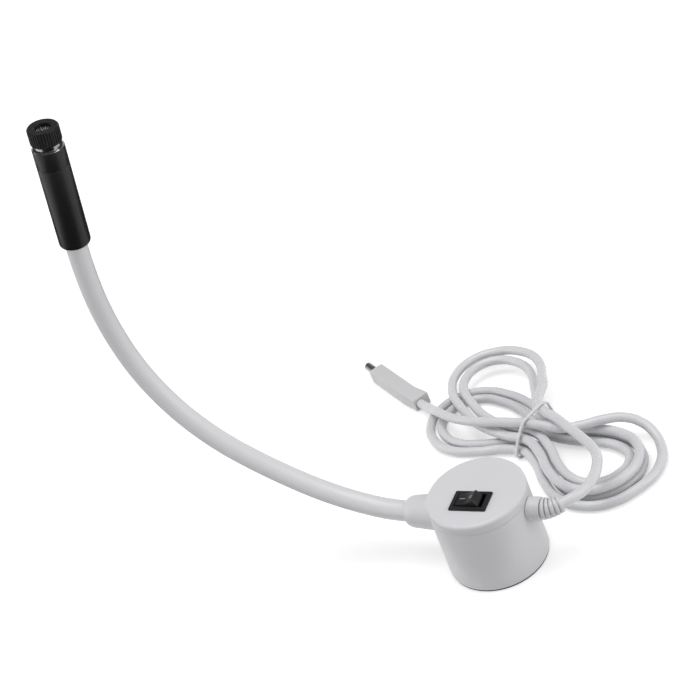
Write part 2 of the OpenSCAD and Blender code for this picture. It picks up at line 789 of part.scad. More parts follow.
module hank_tie() {
    waist = concat(
        [for (a = tie_angles) for (t = [-tie_spread, 0, tie_spread])
            let (p = hank_local(a + t)) [p[1], p[2]]],
        tie_over);
    module bundle(grow) {
        hull() for (p = waist) translate(p) circle(cord_d / 2 + grow, $fn = 24);
    }
    color("white") translate(hank_middle) rotate(hank_angle) translate([tie_u, 0, 0])
        rotate([90, 0, 90]) linear_extrude(tie_w, center = true) difference() {
            bundle(tie_slack + tie_t);
            bundle(tie_slack);
        }
}

// Plug

module plug_moulding() {
    tail_w = 9;
    tail_l = 10;
    nose = 2.2;
    nose_h = 1.4;
    tail_edge = 1.2;
    module outline(width, tail, corner) {
        polygon(concat(
            arc([tail_edge, tail_edge - tail / 2], tail_edge, 180, 270, 4),
            [[tail_l, -width / 2]],
            arc([plug_l - corner, corner - width / 2], corner, -90, 0, 5),
            arc([plug_l - corner, width / 2 - corner], corner, 0, 90, 5),
            [[tail_l, width / 2]],
            arc([tail_edge, tail / 2 - tail_edge], tail_edge, 90, 180, 4)));
    }
    color(pale) in_plug() difference() {
        intersection() {
            linear_extrude(plug_h, center = true) outline(plug_w, tail_w, nose);
            rotate([90, 0, 0]) linear_extrude(plug_w, center = true) outline(plug_h, tail_w, nose_h);
        }
        rotate([0, 90, 0]) round_bar(-1, plug_socket, plug_socket_d);
        rotate([0, 90, 0]) round_bar(plug_l - shank_l - 0.1, plug_l + 1, shank_d + 2 * slack);
    }
}

module plug_barrel() color(bright) in_plug() rotate([0, 90, 0]) difference() {
    union() {
        round_bar(plug_l, plug_l + barrel_l, pin_d);
        round_bar(plug_l - shank_l, plug_l + 1, shank_d);
    }
    round_bar(pin_floor, plug_l + barrel_l + 1, pin_bore);
}

module plug_insulator() color(satin_black) in_plug() rotate([0, 90, 0])
    ring(pin_floor, plug_l + barrel_l - 0.4, pin_bore - 2 * slack, insulator_bore);

module plug_contact() color(brass) in_plug() rotate([0, 90, 0])
    ring(pin_floor, plug_l + barrel_l - 1, insulator_bore - 2 * slack, contact_bore);

base_housing();
top_cover();
bottom_plate();
magnet();
plate_screws();
switch_housing();
switch_rocker();
rocker_plunger();
contact_bar();
switch_terminals();
neck_collar();
collar_nut();
strain_relief();
wire_supply();
wire_switched();
wire_return();
neck_cable();
neck_core_root();
neck_core_1();
neck_core_2();
neck_core_3();
neck_core_4();
neck_core_5();
neck_core_tip();
neck_sleeve_root();
neck_sleeve_1();
neck_sleeve_2();
neck_sleeve_3();
neck_sleeve_4();
neck_sleeve_5();
neck_sleeve_tip();
neck_ferrule();
head_barrel();
front_sleeve();
lens_tube();
led_heatsink();
led_board();
led_emitter();
driver_board();
driver_parts();
head_wires();
lens_cell();
lens();
lens_retainer();
focus_cap();
cord_lead();
cord_hank();
cord_tail();
hank_tie();
plug_moulding();
plug_barrel();
plug_insulator();
plug_contact();
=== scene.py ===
import math

import bmesh
import bpy
from mathutils import Matrix, Vector


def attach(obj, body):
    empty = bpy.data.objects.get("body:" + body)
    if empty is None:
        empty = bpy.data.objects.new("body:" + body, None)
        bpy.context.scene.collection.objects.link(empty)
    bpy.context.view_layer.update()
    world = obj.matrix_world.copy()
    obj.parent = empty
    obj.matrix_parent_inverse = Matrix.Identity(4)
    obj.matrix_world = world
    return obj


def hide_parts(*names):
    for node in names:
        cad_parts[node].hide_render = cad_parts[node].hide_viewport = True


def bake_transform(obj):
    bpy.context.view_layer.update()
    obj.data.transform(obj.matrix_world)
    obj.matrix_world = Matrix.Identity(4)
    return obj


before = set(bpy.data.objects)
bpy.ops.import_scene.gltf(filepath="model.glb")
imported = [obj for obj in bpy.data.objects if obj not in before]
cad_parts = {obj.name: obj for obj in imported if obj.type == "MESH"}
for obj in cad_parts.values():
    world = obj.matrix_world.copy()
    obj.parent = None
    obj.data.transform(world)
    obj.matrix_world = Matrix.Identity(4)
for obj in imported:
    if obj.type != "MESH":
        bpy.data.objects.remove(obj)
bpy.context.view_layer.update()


# Table and light
# A plain white table top under three soft boxes, in a studio that is white at the horizon and grey above.
# A black card shows in glossy things only, so that the white table doesn't grey the dark head.
class Socket:
    """A socket of a node tree: sums on it add Math nodes, and add() places any other node."""

    def __init__(self, tree, socket=None):
        self.tree = tree
        self.socket = socket

    def add(self, kind, settings=None, values=None, output=0):
        node = self.tree.nodes.new(kind)
        for name, setting in (settings or {}).items():
            setattr(node, name, setting)
        for name, value in (values or {}).items():
            if isinstance(value, Socket):
                self.tree.links.new(value.socket, node.inputs[name])
            else:
                node.inputs[name].default_value = value
        return Socket(self.tree, node.outputs[output] if node.outputs else None)

    def beside(self, output):
        """Another output of the same node."""
        return Socket(self.tree, self.socket.node.outputs[output])

    def sum(self, operation, first, second):
        return self.add("ShaderNodeMath", {"operation": operation}, {0: first, 1: second})

    def __add__(self, other):
        return self.sum("ADD", self, other)

    def __radd__(self, other):
        return self.sum("ADD", other, self)

    def __sub__(self, other):
        return self.sum("SUBTRACT", self, other)

    def __rsub__(self, other):
        return self.sum("SUBTRACT", other, self)

    def __mul__(self, other):
        return self.sum("MULTIPLY", self, other)

    def __rmul__(self, other):
        return self.sum("MULTIPLY", other, self)

    def __rtruediv__(self, other):
        return self.sum("DIVIDE", other, self)

    def __gt__(self, other):
        return self.sum("GREATER_THAN", self, other)

    def __lt__(self, other):
        return self.sum("LESS_THAN", self, other)

    def at_most(self, other):
        return self.sum("MINIMUM", self, other)


def blank(name):
    """A new material with no nodes, and a start for its node tree."""
    material = bpy.data.materials.new(name)
    material.use_nodes = True
    material.node_tree.nodes.clear()
    return material, Socket(material.node_tree)


def shown_ray(start):
    """1 for what the camera sees, straight on or in metal and glass, and 0 for light that spreads."""
    path = start.add("ShaderNodeLightPath")
    direct = path.beside("Is Camera Ray")
    return (direct + path.beside("Is Glossy Ray") + path.beside("Is Transmission Ray")).at_most(1.0)


def mix(factor, first, second):
    """A colour between two others."""
    values = {0: factor, 6: first, 7: second}
    return factor.add("ShaderNodeMix", {"data_type": "RGBA"}, values, output=2)


TABLE_REACH = 4.0
TABLE_Z = -0.0002
SQUARE = ((-1, -1), (1, -1), (1, 1), (-1, 1))
TABLE_COLOUR = (0.68, 0.68, 0.68, 1)
WHITE = (1, 1, 1, 1)
TABLE_GLOW = (0.5, 0.5, 0.5, 1)
GLOW_FROM = 0.5
GLOW_TO = 1.6
SKY_GREY = (0.15, 0.15, 0.15, 1)
SKY_FROM = 0.45

table_finish, start = blank("table_white")
spread = start.add("ShaderNodeBsdfDiffuse", {}, {"Color": TABLE_COLOUR})
table_place = start.add("ShaderNodeTexCoord").beside("Object")
away = start.add("ShaderNodeVectorMath", {"operation": "LENGTH"}, {0: table_place}).beside("Value")
far_share = start.add("ShaderNodeMapRange", {}, {
    "Value": away, "From Min": GLOW_FROM, "From Max": GLOW_TO})
glow = start.add("ShaderNodeEmission", {}, {"Color": mix(far_share, TABLE_GLOW, WHITE), "Strength": 1.0})
seen = start.add("ShaderNodeAddShader", {}, {0: spread, 1: glow})
table_skin = start.add("ShaderNodeMixShader", {}, {0: shown_ray(start), 1: spread, 2: seen})
start.add("ShaderNodeOutputMaterial", {}, {"Surface": table_skin})

table_mesh = bpy.data.meshes.new("table")
table_corners = [(TABLE_REACH * x, TABLE_REACH * y, TABLE_Z) for x, y in SQUARE]
table_mesh.from_pydata(table_corners, [], [(0, 1, 2, 3)])
table_mesh.materials.append(table_finish)
table = bpy.data.objects.new("table", table_mesh)
bpy.context.scene.collection.objects.link(table)

CARD_COLOUR = (0.015, 0.015, 0.015, 1)
CARD_Z = 0.0001
CARD_CORNERS = (
    (0.2, -0.7), (0.2, -0.035), (-0.06, -0.035), (-0.2, 0.08), (-0.2, 0.19), (0, 0.19), (0, 0.7),
    (-1.3, 0.7), (-1.3, -0.15), (-0.62, -0.068), (-0.582, -0.194), (-0.507, -0.308), (-0.402, -0.394),
    (-0.402, -0.7))
card_finish, start = blank("card_black")
card_skin = start.add("ShaderNodeBsdfDiffuse", {}, {"Color": CARD_COLOUR})
start.add("ShaderNodeOutputMaterial", {}, {"Surface": card_skin})
card_mesh = bpy.data.meshes.new("card")
card_face = tuple(range(len(CARD_CORNERS)))
card_mesh.from_pydata([(x, y, CARD_Z) for x, y in CARD_CORNERS], [], [card_face])
card_mesh.materials.append(card_finish)
card = bpy.data.objects.new("card", card_mesh)
card.visible_camera = False
card.visible_diffuse = False
card.visible_transmission = False
card.visible_shadow = False
bpy.context.scene.collection.objects.link(card)

world = bpy.data.worlds.new("studio")
world.use_nodes = True
world.node_tree.nodes.clear()
bpy.context.scene.world = world
start = Socket(world.node_tree)
look = start.add("ShaderNodeTexCoord").beside("Generated")
height = start.add("ShaderNodeSeparateXYZ", {}, {"Vector": look}).beside("Z")
share = start.add("ShaderNodeMapRange", {"interpolation_type": "SMOOTHSTEP"}, {
    "Value": height, "From Min": 0.0, "From Max": SKY_FROM})
sky = start.add("ShaderNodeBackground", {}, {"Color": mix(share, WHITE, SKY_GREY), "Strength": 1.0})
start.add("ShaderNodeOutputWorld", {}, {"Surface": sky})


def soft_box(name, place, target, size, power):
    """A square soft box that faces a point of the lamp."""
    lamp = bpy.data.lights.new(name, "AREA")
    lamp.shape = "SQUARE"
    lamp.size = size
    lamp.energy = power
    box = bpy.data.objects.new(name, lamp)
    box.location = place
    box.rotation_euler = (Vector(target) - Vector(place)).to_track_quat("-Z", "Y").to_euler()
    bpy.context.scene.collection.objects.link(box)


LAMP_MIDDLE = (-0.05, 0.04, 0.05)
SOFT_BOXES = (
    ("box_above", (-0.15, 0.1, 1.6), 1.2, 17),
    ("box_left", (-1.5, -0.7, 0.7), 0.9, 8.1),
    ("box_right", (1.3, 0.2, 0.7), 0.9, 7.2))
for name, place, size, power in SOFT_BOXES:
    soft_box(name, place, LAMP_MIDDLE, size, power)
bpy.context.scene.view_settings.view_transform = "Standard"

# Camera
# It stands to the right of the switch, looks down on the base and is rolled, as the picture shows.
# Its place was fitted to the rims of the base, the neck and the head.
MM = 0.001
CAMERA_AZIMUTH = math.radians(36.281)
CAMERA_ELEVATION = math.radians(31.240)
CAMERA_ROLL = math.radians(-23.080)
CAMERA_SHIFT = (-83.222, 111.460, 731.373)
IMAGE_SIZE = 680
FOCAL_PIXELS = 1400
SENSOR = 36
NEAREST = 0.01

camera_back = Vector((
    math.sin(CAMERA_AZIMUTH) * math.cos(CAMERA_ELEVATION),
    -math.cos(CAMERA_AZIMUTH) * math.cos(CAMERA_ELEVATION),
    math.sin(CAMERA_ELEVATION)))
level_right = Vector((math.cos(CAMERA_AZIMUTH), math.sin(CAMERA_AZIMUTH), 0))
level_up = camera_back.cross(level_right)
camera_right = math.cos(CAMERA_ROLL) * level_right + math.sin(CAMERA_ROLL) * level_up
camera_up = math.cos(CAMERA_ROLL) * level_up - math.sin(CAMERA_ROLL) * level_right
camera_turn = Matrix((camera_right, camera_up, camera_back)).transposed()

camera = bpy.data.objects.new("camera", bpy.data.cameras.new("camera"))
camera.data.sensor_width = SENSOR
camera.data.lens = FOCAL_PIXELS * SENSOR / IMAGE_SIZE
camera.data.clip_start = NEAREST
camera.matrix_world = Matrix.Translation(camera_turn @ Vector(CAMERA_SHIFT) * MM) @ camera_turn.to_4x4()
bpy.context.scene.collection.objects.link(camera)
bpy.context.scene.camera = camera


# Foot plate, magnet and screws
# A black-coated steel plate closes the base from below and carries the ring magnet that holds the
# lamp to the machine. Three countersunk cross-head screws fix it to bosses in the housing.
ARC_STEPS = 6
TURN_STEPS = 128
SMALL_TURN_STEPS = 40
ON_AXIS = 1e-6
CREASE = 32
NOISE_DETAIL = 2.0
BUMP_DEPTH = 0.0002
TARNISH_SCALE = 300.0
TARNISH_GLOSS = 0.16
TOOL_MARK_SCALE = 3600.0
TOOL_MARK_BUMP = 0.04
FLOW_SCALE = 38.0
FLOW_GLOSS = 0.06
ETCH_GLOSS = 0.1
COAT_ROUGHNESS = 0.2
SCREW_LOW = 0.05
SCREW_L = 9.0
SCREW_R = 1.4
SCREW_HEAD_R = 2.6
SCREW_HEAD_H = 1.2
SCREW_RIM = 0.1
SCREW_POINT = 0.4
SCREW_CROSS = (2.6, 0.6, 1.2)
SCREWS = 3
SCREWS_AT = 20.8
SCREWS_TURN = math.radians(60)


def noise(start, place, scale):
    return start.add("ShaderNodeTexNoise", {}, {"Vector": place, "Scale": scale, "Detail": NOISE_DETAIL})


def metal(name, dark, light, roughness):
    """A metal with cloudy tarnish and fine tool marks."""
    material, start = blank(name)
    place = start.add("ShaderNodeTexCoord").beside("Object")
    cloud = noise(start, place, TARNISH_SCALE)
    marks = noise(start, place, TOOL_MARK_SCALE)
    relief = start.add("ShaderNodeBump", {}, {
        "Height": marks, "Strength": TOOL_MARK_BUMP, "Distance": BUMP_DEPTH})
    surface = start.add("ShaderNodeBsdfPrincipled", {}, {
        "Base Color": mix(cloud, dark, light),
        "Roughness": roughness + TARNISH_GLOSS * (cloud - 0.5),
        "Metallic": 1.0,
        "Normal": relief})
    start.add("ShaderNodeOutputMaterial", {}, {"Surface": surface})
    return material


def plastic(name, dark, light, roughness, grain=2600.0, bump=0.03, coat=0.0, gloss=0.5):
    """Moulded plastic: faint flow clouds, an etched grain in its gloss and its surface."""
    material, start = blank(name)
    place = start.add("ShaderNodeTexCoord").beside("Object")
    cloud = noise(start, place, FLOW_SCALE)
    etched = noise(start, place, grain)
    relief = start.add("ShaderNodeBump", {}, {"Height": etched, "Strength": bump, "Distance": BUMP_DEPTH})
    surface = start.add("ShaderNodeBsdfPrincipled", {}, {
        "Base Color": mix(cloud, dark, light),
        "Roughness": roughness + ETCH_GLOSS * (etched - 0.5) + FLOW_GLOSS * (cloud - 0.5),
        "Specular IOR Level": gloss,
        "Coat Weight": coat,
        "Coat Roughness": COAT_ROUGHNESS,
        "Normal": relief})
    start.add("ShaderNodeOutputMaterial", {}, {"Surface": surface})
    return material


def dress(finish, *nodes):
    """Gives solids of the frame that stay as they are their finish."""
    for name in nodes:
        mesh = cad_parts[name].data
        mesh.materials.clear()
        mesh.materials.append(finish)


def rounded(corners):
    """A closed outline through corners given as (x, y, radius of its fillet)."""
    outline = []
    for i, (x, y, fillet) in enumerate(corners):
        here = Vector((x, y))
        if fillet == 0:
            outline.append(here)
            continue
        back = (Vector(corners[i - 1][:2]) - here).normalized()
        ahead = (Vector(corners[(i + 1) % len(corners)][:2]) - here).normalized()
        half = back.angle(ahead) / 2
        reach = fillet / math.tan(half)
        centre = here + (back + ahead).normalized() * fillet / math.sin(half)
        first = here + back * reach - centre
        last = here + ahead * reach - centre
        sweep = first.angle(last)
        for k in range(ARC_STEPS + 1):
            t = sweep * k / ARC_STEPS
            blend = first * math.sin(sweep - t) + last * math.sin(t)
            outline.append(centre + blend / math.sin(sweep))
    return outline


def bridge(shape, first, second):
    """Skins the space between two rings of points, either of which may be a single point."""
    count = max(len(first), len(second))
    for k in range(count):
        a = first[k % len(first)]
        b = first[(k + 1) % len(first)]
        c = second[(k + 1) % len(second)]
        d = second[k % len(second)]
        corners = [v for i, v in enumerate((a, b, c, d)) if v not in (a, b, c, d)[:i]]
        if len(corners) > 2:
            shape.faces.new(corners)


def revolve(outline, steps=TURN_STEPS):
    """The closed skin of an outline of (radius, height) points turned round Z."""
    shape = bmesh.new()
    rings = []
    for r, z in outline:
        count = 1 if r < ON_AXIS else steps
        angles = [2 * math.pi * k / steps for k in range(count)]
        rings.append([shape.verts.new((r * math.cos(a), r * math.sin(a), z)) for a in angles])
    for first, second in zip(rings, rings[1:] + rings[:1]):
        bridge(shape, first, second)
    return shape


def solid(name, shape, finish, place=Matrix.Identity(4), crease=CREASE):
    """A named object from a mesh drawn in millimetres, with its place kept in the mesh."""
    bmesh.ops.recalc_face_normals(shape, faces=shape.faces)
    bmesh.ops.transform(shape, matrix=Matrix.Scale(MM, 4) @ place, verts=shape.verts)
    mesh = bpy.data.meshes.new(name)
    shape.to_mesh(mesh)
    shape.free()
    mesh.shade_smooth()
    mesh.set_sharp_from_angle(angle=math.radians(crease))
    mesh.materials.append(finish)
    piece = bpy.data.objects.new(name, mesh)
    bpy.context.scene.collection.objects.link(piece)
    return piece


def plain_mesh(piece):
    """Makes what a piece's modifiers give its own mesh, and takes the modifiers off."""
    graph = bpy.context.evaluated_depsgraph_get()
    mesh = bpy.data.meshes.new_from_object(piece.evaluated_get(graph))
    piece.modifiers.clear()
    piece.data = mesh
    mesh.shade_smooth()
    mesh.set_sharp_from_angle(angle=math.radians(CREASE))


def carve(piece, tool):
    """Cuts a tool shape out of a piece, and removes the tool."""
    cut = piece.modifiers.new("carve", "BOOLEAN")
    cut.operation = "DIFFERENCE"
    cut.solver = "EXACT"
    cut.object = tool
    plain_mesh(piece)
    bpy.data.objects.remove(tool)


def block(size, middle):
    """A plain block, as a cutting tool."""
    shape = bmesh.new()
    place = Matrix.Translation(middle) @ Matrix.Diagonal((*size, 1))
    bmesh.ops.create_cube(shape, size=1, matrix=place)
    return shape


def seat(piece, body, slot, *nodes):
    """Puts a finished piece on its body, in place of solids of the frame."""
    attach(piece, body)
    if nodes:
        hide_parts(*nodes)


def repeated(piece, copies, sizes, finish):
    """Repeats a piece's mesh by a tree of Geometry Nodes with named sizes, as one plain mesh."""
    tree = bpy.data.node_groups.new(copies.__name__, "GeometryNodeTree")
    tree.interface.new_socket("Geometry", in_out="INPUT", socket_type="NodeSocketGeometry")
    sockets = {}
    for label, size in sizes.items():
        kind = "NodeSocketInt" if isinstance(size, int) else "NodeSocketFloat"
        sockets[label] = tree.interface.new_socket(label, in_out="INPUT", socket_type=kind)
    tree.interface.new_socket("Geometry", in_out="OUTPUT", socket_type="NodeSocketGeometry")
    given = Socket(tree).add("NodeGroupInput")
    real = given.add("GeometryNodeRealizeInstances", {}, {"Geometry": copies(given)})
    coated = given.add("GeometryNodeSetMaterial", {}, {"Geometry": real, "Material": finish})
    given.add("NodeGroupOutput", {}, {"Geometry": coated})
    repeat = piece.modifiers.new("repeat", "NODES")
    repeat.node_group = tree
    for label, size in sizes.items():
        repeat[sockets[label].identifier] = size
    plain_mesh(piece)


def round_copies(given):
    """Copies at even steps round Z, each turned to face outwards."""
    count = given.beside("Count")
    ring = given.add("GeometryNodeMeshCircle", {}, {"Vertices": count, "Radius": given.beside("Radius")})
    angle = given.add("GeometryNodeInputIndex") * (2 * math.pi / count)
    turn = given.add("ShaderNodeCombineXYZ", {}, {"Z": angle})
    return given.add("GeometryNodeInstanceOnPoints", {}, {
        "Points": ring, "Instance": given, "Rotation": turn})


def settle(piece, place):
    """Moves a mesh that was made round the origin to its place, in millimetres."""
    shift = Matrix.Scale(MM, 4) @ place @ Matrix.Scale(1 / MM, 4)
    piece.data.transform(shift)


plate_black = plastic("plate_black", (0.01, 0.01, 0.011, 1), (0.022, 0.022, 0.023, 1), 0.6, gloss=0.15)
ferrite = metal("ferrite", (0.02, 0.02, 0.021, 1), (0.045, 0.045, 0.046, 1), 0.62)
screw_steel = metal("screw_steel", (0.42, 0.42, 0.43, 1), (0.6, 0.6, 0.61, 1), 0.3)
dress(plate_black, "bottom_plate")
dress(ferrite, "magnet")
screw_tip = SCREW_LOW + SCREW_L
screws = solid("plate_screw_set", revolve(rounded([
    (0, SCREW_LOW, 0),
    (SCREW_HEAD_R, SCREW_LOW, SCREW_RIM),
    (SCREW_R, SCREW_LOW + SCREW_HEAD_H, 0),
    (SCREW_R, screw_tip, SCREW_POINT),
    (0, screw_tip, 0)]), SMALL_TURN_STEPS), screw_steel)
for turn in (0, math.pi / 2):
    slot_cut = block(SCREW_CROSS, (0, 0, SCREW_LOW))
    carve(screws, solid("screw_slot", slot_cut, screw_steel, Matrix.Rotation(turn, 4, "Z")))
repeated(screws, round_copies, {"Count": SCREWS, "Radius": SCREWS_AT * MM}, screw_steel)
settle(screws, Matrix.Rotation(SCREWS_TURN, 4, "Z"))
seat(screws, "base", "screws", "plate_screws")

# Housing
# A cup of pale injection-moulded plastic with a slight draft, open below. Its satin face carries the
# fine even grain of an etched mould, and a small radius breaks the edge at the foot.
BASE_FOOT_R = 27.1
BASE_TOP_R = 26.5
BASE_H = 44.6
PLATE_T = 0.8
SEAM_Z = 39.0
BORE_R = 24.0
BORE_EDGE = 0.2
FOOT_EDGE = 0.5
SEAM_EDGE = 0.05


def base_r(z):
    """Radius of the base's drafted wall at a height."""
    return BASE_FOOT_R + (BASE_TOP_R - BASE_FOOT_R) * z / BASE_H


pale_shell = plastic("pale_shell", (0.655, 0.655, 0.68, 1), (0.685, 0.683, 0.705, 1), 0.42)
housing = solid("base_housing_shell", revolve(rounded([
    (BORE_R, PLATE_T, BORE_EDGE),
    (base_r(PLATE_T), PLATE_T, FOOT_EDGE),
    (base_r(SEAM_Z), SEAM_Z, SEAM_EDGE),
    (BORE_R, SEAM_Z, 0)])), pale_shell)
seat(housing, "base", "pale_shell", "base_housing")

# Top cover
# A pale moulded lid that snaps into the housing with a lip. Its edge is rounded all the way round,
# a fine seam shows below its skirt, and the switch snaps into a rectangular opening.
COVER_T = 2.4
COVER_EDGE = 1.8
LIP_R = 23.85
LIP_INNER_R = 22.3
LIP_Z = 36.8
LIP_ROOT = 0.5
LIP_INNER_EDGE = 0.2
LIP_OUTER_EDGE = 0.3
SEAM_GAP = 0.1
SEAM_R = 26.0
SWITCH_X = 0.3
SWITCH_Y = -7.8
SWITCH_CUT = (18.6, 12.4, 9.6)
cover = solid("top_cover_shell", revolve(rounded([
    (0, BASE_H - COVER_T, 0),
    (LIP_INNER_R, BASE_H - COVER_T, LIP_ROOT),
    (LIP_INNER_R, LIP_Z, LIP_INNER_EDGE),
    (LIP_R, LIP_Z, LIP_OUTER_EDGE),
    (LIP_R, SEAM_Z, 0),
    (SEAM_R, SEAM_Z, 0),
    (SEAM_R, SEAM_Z + SEAM_GAP, 0),
    (BASE_TOP_R, SEAM_Z + SEAM_GAP, SEAM_EDGE),
    (BASE_TOP_R, BASE_H, COVER_EDGE),
    (0, BASE_H, 0)])), pale_shell)
carve(cover, solid("switch_cut", block(SWITCH_CUT, (SWITCH_X, SWITCH_Y, BASE_H)), pale_shell))
seat(cover, "base", "pale_shell", "top_cover")

# Switch
# A black nylon snap-in rocker switch. Its bezel lies on the cover, the rocker turns on two pins in
# the well and tips a brass bar between two blades. The marks are grey paint in shallow strokes.
BEZEL_HALF = (10.1, 6.8)
BEZEL_T = 1.2
BEZEL_CHAMFER = 0.4
BEZEL_CORNER = 0.5
BEZEL_TOP_CORNER = 0.4
BODY_HALF = (9.1, 6.0)
BODY_CORNER = 0.4
BODY_H = 14.1
WELL_HALF = (7.55, 4.6)
WELL_CORNER = 0.3
WELL_LEAD = 0.25
WELL_LEAD_H = 0.3
WELL_FLOOR = -12.9
CORNER_STEPS = 4
EDGE_SEGMENTS = 3
EDGE_ANGLE = math.radians(25)
PIVOT_Z = -3.6
ROCKER_TILT = math.radians(16)
ROCKER_HALF = 5.1
ROCKER_W = 8.4
ROCKER_HIGH = 7.0
ROCKER_VALLEY = 6.1
ROCKER_DISH = 0.1
ROCKER_STEPS = 8
ROCKER_EDGE = 0.35
ROCKER_BELOW = [(6.6, 2.9), (6.3, 1.6), (2.4, -1.0), (2.4, -4.2)]
MARK_ON_X = -2.3
MARK_ON_HALF = (1.55, 0.3)
MARK_OFF_X = 3.0
MARK_OFF_R = (0.6, 1.0)
MARK_T = 0.06
MARK_ROOT = -0.2
MARK_CORNER = 0.15
SLOPE_STEP = 0.1


def rounded_box(half, corner):
    """The points of a rectangle with round corners, the same number whatever its size."""
    points = []
    for quarter, (sx, sy) in enumerate(((1, 1), (-1, 1), (-1, -1), (1, -1))):
        for k in range(CORNER_STEPS + 1):
            a = math.pi / 2 * (quarter + k / CORNER_STEPS)
            x = sx * (half[0] - corner) + corner * math.cos(a)
            y = sy * (half[1] - corner) + corner * math.sin(a)
            points.append((x, y))
    return points


def skin(rings):
    """The closed skin over rings of points, with a face at each end."""
    shape = bmesh.new()
    loops = [[shape.verts.new(p) for p in ring] for ring in rings]
    for first, second in zip(loops, loops[1:]):
        bridge(shape, first, second)
    shape.faces.new(loops[0])
    shape.faces.new(loops[-1])
    return shape


def loft(sections):
    """The closed skin over flat sections, each a list of points and a height."""
    return skin([[(x, y, z) for x, y in points] for points, z in sections])


def inset(half, by):
    return (half[0] - by, half[1] - by)


def bevelled(piece, width):
    """Breaks a piece's sharp edges."""
    edge = piece.modifiers.new("edge", "BEVEL")
    edge.width = width * MM
    edge.segments = EDGE_SEGMENTS
    edge.limit_method = "ANGLE"
    edge.angle_limit = EDGE_ANGLE
    plain_mesh(piece)


switch_black = plastic(
    "switch_black", (0.012, 0.012, 0.013, 1), (0.02, 0.02, 0.021, 1), 0.4, bump=0.05, gloss=0.25)
mark_grey = plastic("mark_grey", (0.24, 0.24, 0.24, 1), (0.34, 0.34, 0.34, 1), 0.5)
in_switch = Matrix.Translation((SWITCH_X, SWITCH_Y, BASE_H))
bezel = solid("switch_bezel", loft([
    (rounded_box(BODY_HALF, BODY_CORNER), -BODY_H),
    (rounded_box(BODY_HALF, BODY_CORNER), 0),
    (rounded_box(BEZEL_HALF, BEZEL_CORNER), 0),
    (rounded_box(BEZEL_HALF, BEZEL_CORNER), BEZEL_T - BEZEL_CHAMFER),
    (rounded_box(inset(BEZEL_HALF, BEZEL_CHAMFER), BEZEL_TOP_CORNER), BEZEL_T),
    (rounded_box(inset(WELL_HALF, -WELL_LEAD), BEZEL_TOP_CORNER), BEZEL_T),
    (rounded_box(WELL_HALF, WELL_CORNER), BEZEL_T - WELL_LEAD_H),
    (rounded_box(WELL_HALF, WELL_CORNER), WELL_FLOOR)]), switch_black, in_switch)
seat(bezel, "base", "switch_black", "switch_housing")


def rocker_top(x):
    """Height of the rocker's dished faces above its pivot."""
    share = abs(x) / ROCKER_HALF
    dish = 4 * ROCKER_DISH * share * (1 - share)
    return ROCKER_VALLEY + (ROCKER_HIGH - ROCKER_VALLEY) * share - dish


at_pivot = in_switch @ Matrix.Translation((0, 0, PIVOT_Z)) @ Matrix.Rotation(-ROCKER_TILT, 4, "Y")
rocker_steps = range(ROCKER_STEPS, -ROCKER_STEPS - 1, -1)
rocker_reach = [ROCKER_HALF * k / ROCKER_STEPS for k in rocker_steps]
rocker_outline = [(x, rocker_top(x)) for x in rocker_reach]
rocker_outline += [(-x, y) for x, y in ROCKER_BELOW] + ROCKER_BELOW[::-1]
upright = Matrix.Rotation(math.pi / 2, 4, "X")
rocker = solid("rocker", loft([(rocker_outline, -ROCKER_W / 2), (rocker_outline, ROCKER_W / 2)]),
               switch_black, at_pivot @ upright)
bevelled(rocker, ROCKER_EDGE)
seat(rocker, "rocker", "switch_black", "switch_rocker")


def on_rocker(x):
    """The place on a face of the rocker, with Z square to it."""
    slope = (rocker_top(x + SLOPE_STEP) - rocker_top(x - SLOPE_STEP)) / (2 * SLOPE_STEP)
    lean = Matrix.Rotation(-math.atan(slope), 4, "Y")
    return at_pivot @ Matrix.Translation((x, 0, rocker_top(x))) @ lean


stroke = rounded_box(MARK_ON_HALF, MARK_CORNER)
stroke_shape = loft([(stroke, MARK_ROOT), (stroke, MARK_T)])
mark_on = solid("mark_on", stroke_shape, mark_grey, on_rocker(MARK_ON_X))
ring_in, ring_out = MARK_OFF_R
ring_shape = revolve([
    (ring_in, MARK_ROOT),
    (ring_out, MARK_ROOT),
    (ring_out, MARK_T),
    (ring_in, MARK_T)], SMALL_TURN_STEPS)
mark_off = solid("mark_off", ring_shape, mark_grey, on_rocker(MARK_OFF_X))
for mark in (mark_on, mark_off):
    seat(mark, "rocker", "switch_black")

brass = metal("brass", (0.5, 0.33, 0.11, 1), (0.66, 0.47, 0.19, 1), 0.32)
plunger_steel = metal("plunger_steel", (0.5, 0.5, 0.5, 1), (0.66, 0.66, 0.67, 1), 0.25)
dress(brass, "contact_bar", "switch_terminals")
dress(plunger_steel, "rocker_plunger")

# Wires in the base
# Two PVC-covered wires run from the cord to the switch and from the switch to the neck, and a third
# goes straight to the neck. They are soldered to the blades.
wire_red = plastic("wire_red", (0.42, 0.02, 0.015, 1), (0.5, 0.03, 0.02, 1), 0.38)
wire_black = plastic("wire_black", (0.015, 0.015, 0.016, 1), (0.03, 0.03, 0.03, 1), 0.38)
dress(wire_red, "wire_supply", "wire_switched")
dress(wire_black, "wire_return")

# Collar
# A pale moulded boss that grips the end of the neck. A threaded stub goes through the housing's wall
# and a brass nut holds it from inside. Its shoulder rounds down to the sleeve.
NECK_Z = 29.0
NECK_OUT = 42.0
COLLAR_ROOT_R = 9.95
COLLAR_R = 8.75
COLLAR_MOUTH_R = 6.1
SHOULDER_L = 6.0
SHOULDER_STEPS = 12
SLEEVE_BORE = 5.7
SLEEVE_IN = 30.0
COLLAR_LIP = 1.0
COLLAR_GAP = 0.02


def wall_tool(gap):
    """The space inside the base's outer wall, as a cutting tool that leaves a gap to the wall."""
    return solid("wall", revolve([
        (0, 0), (base_r(0) + gap, 0), (base_r(BASE_H) + gap, BASE_H), (0, BASE_H)]), pale_shell)


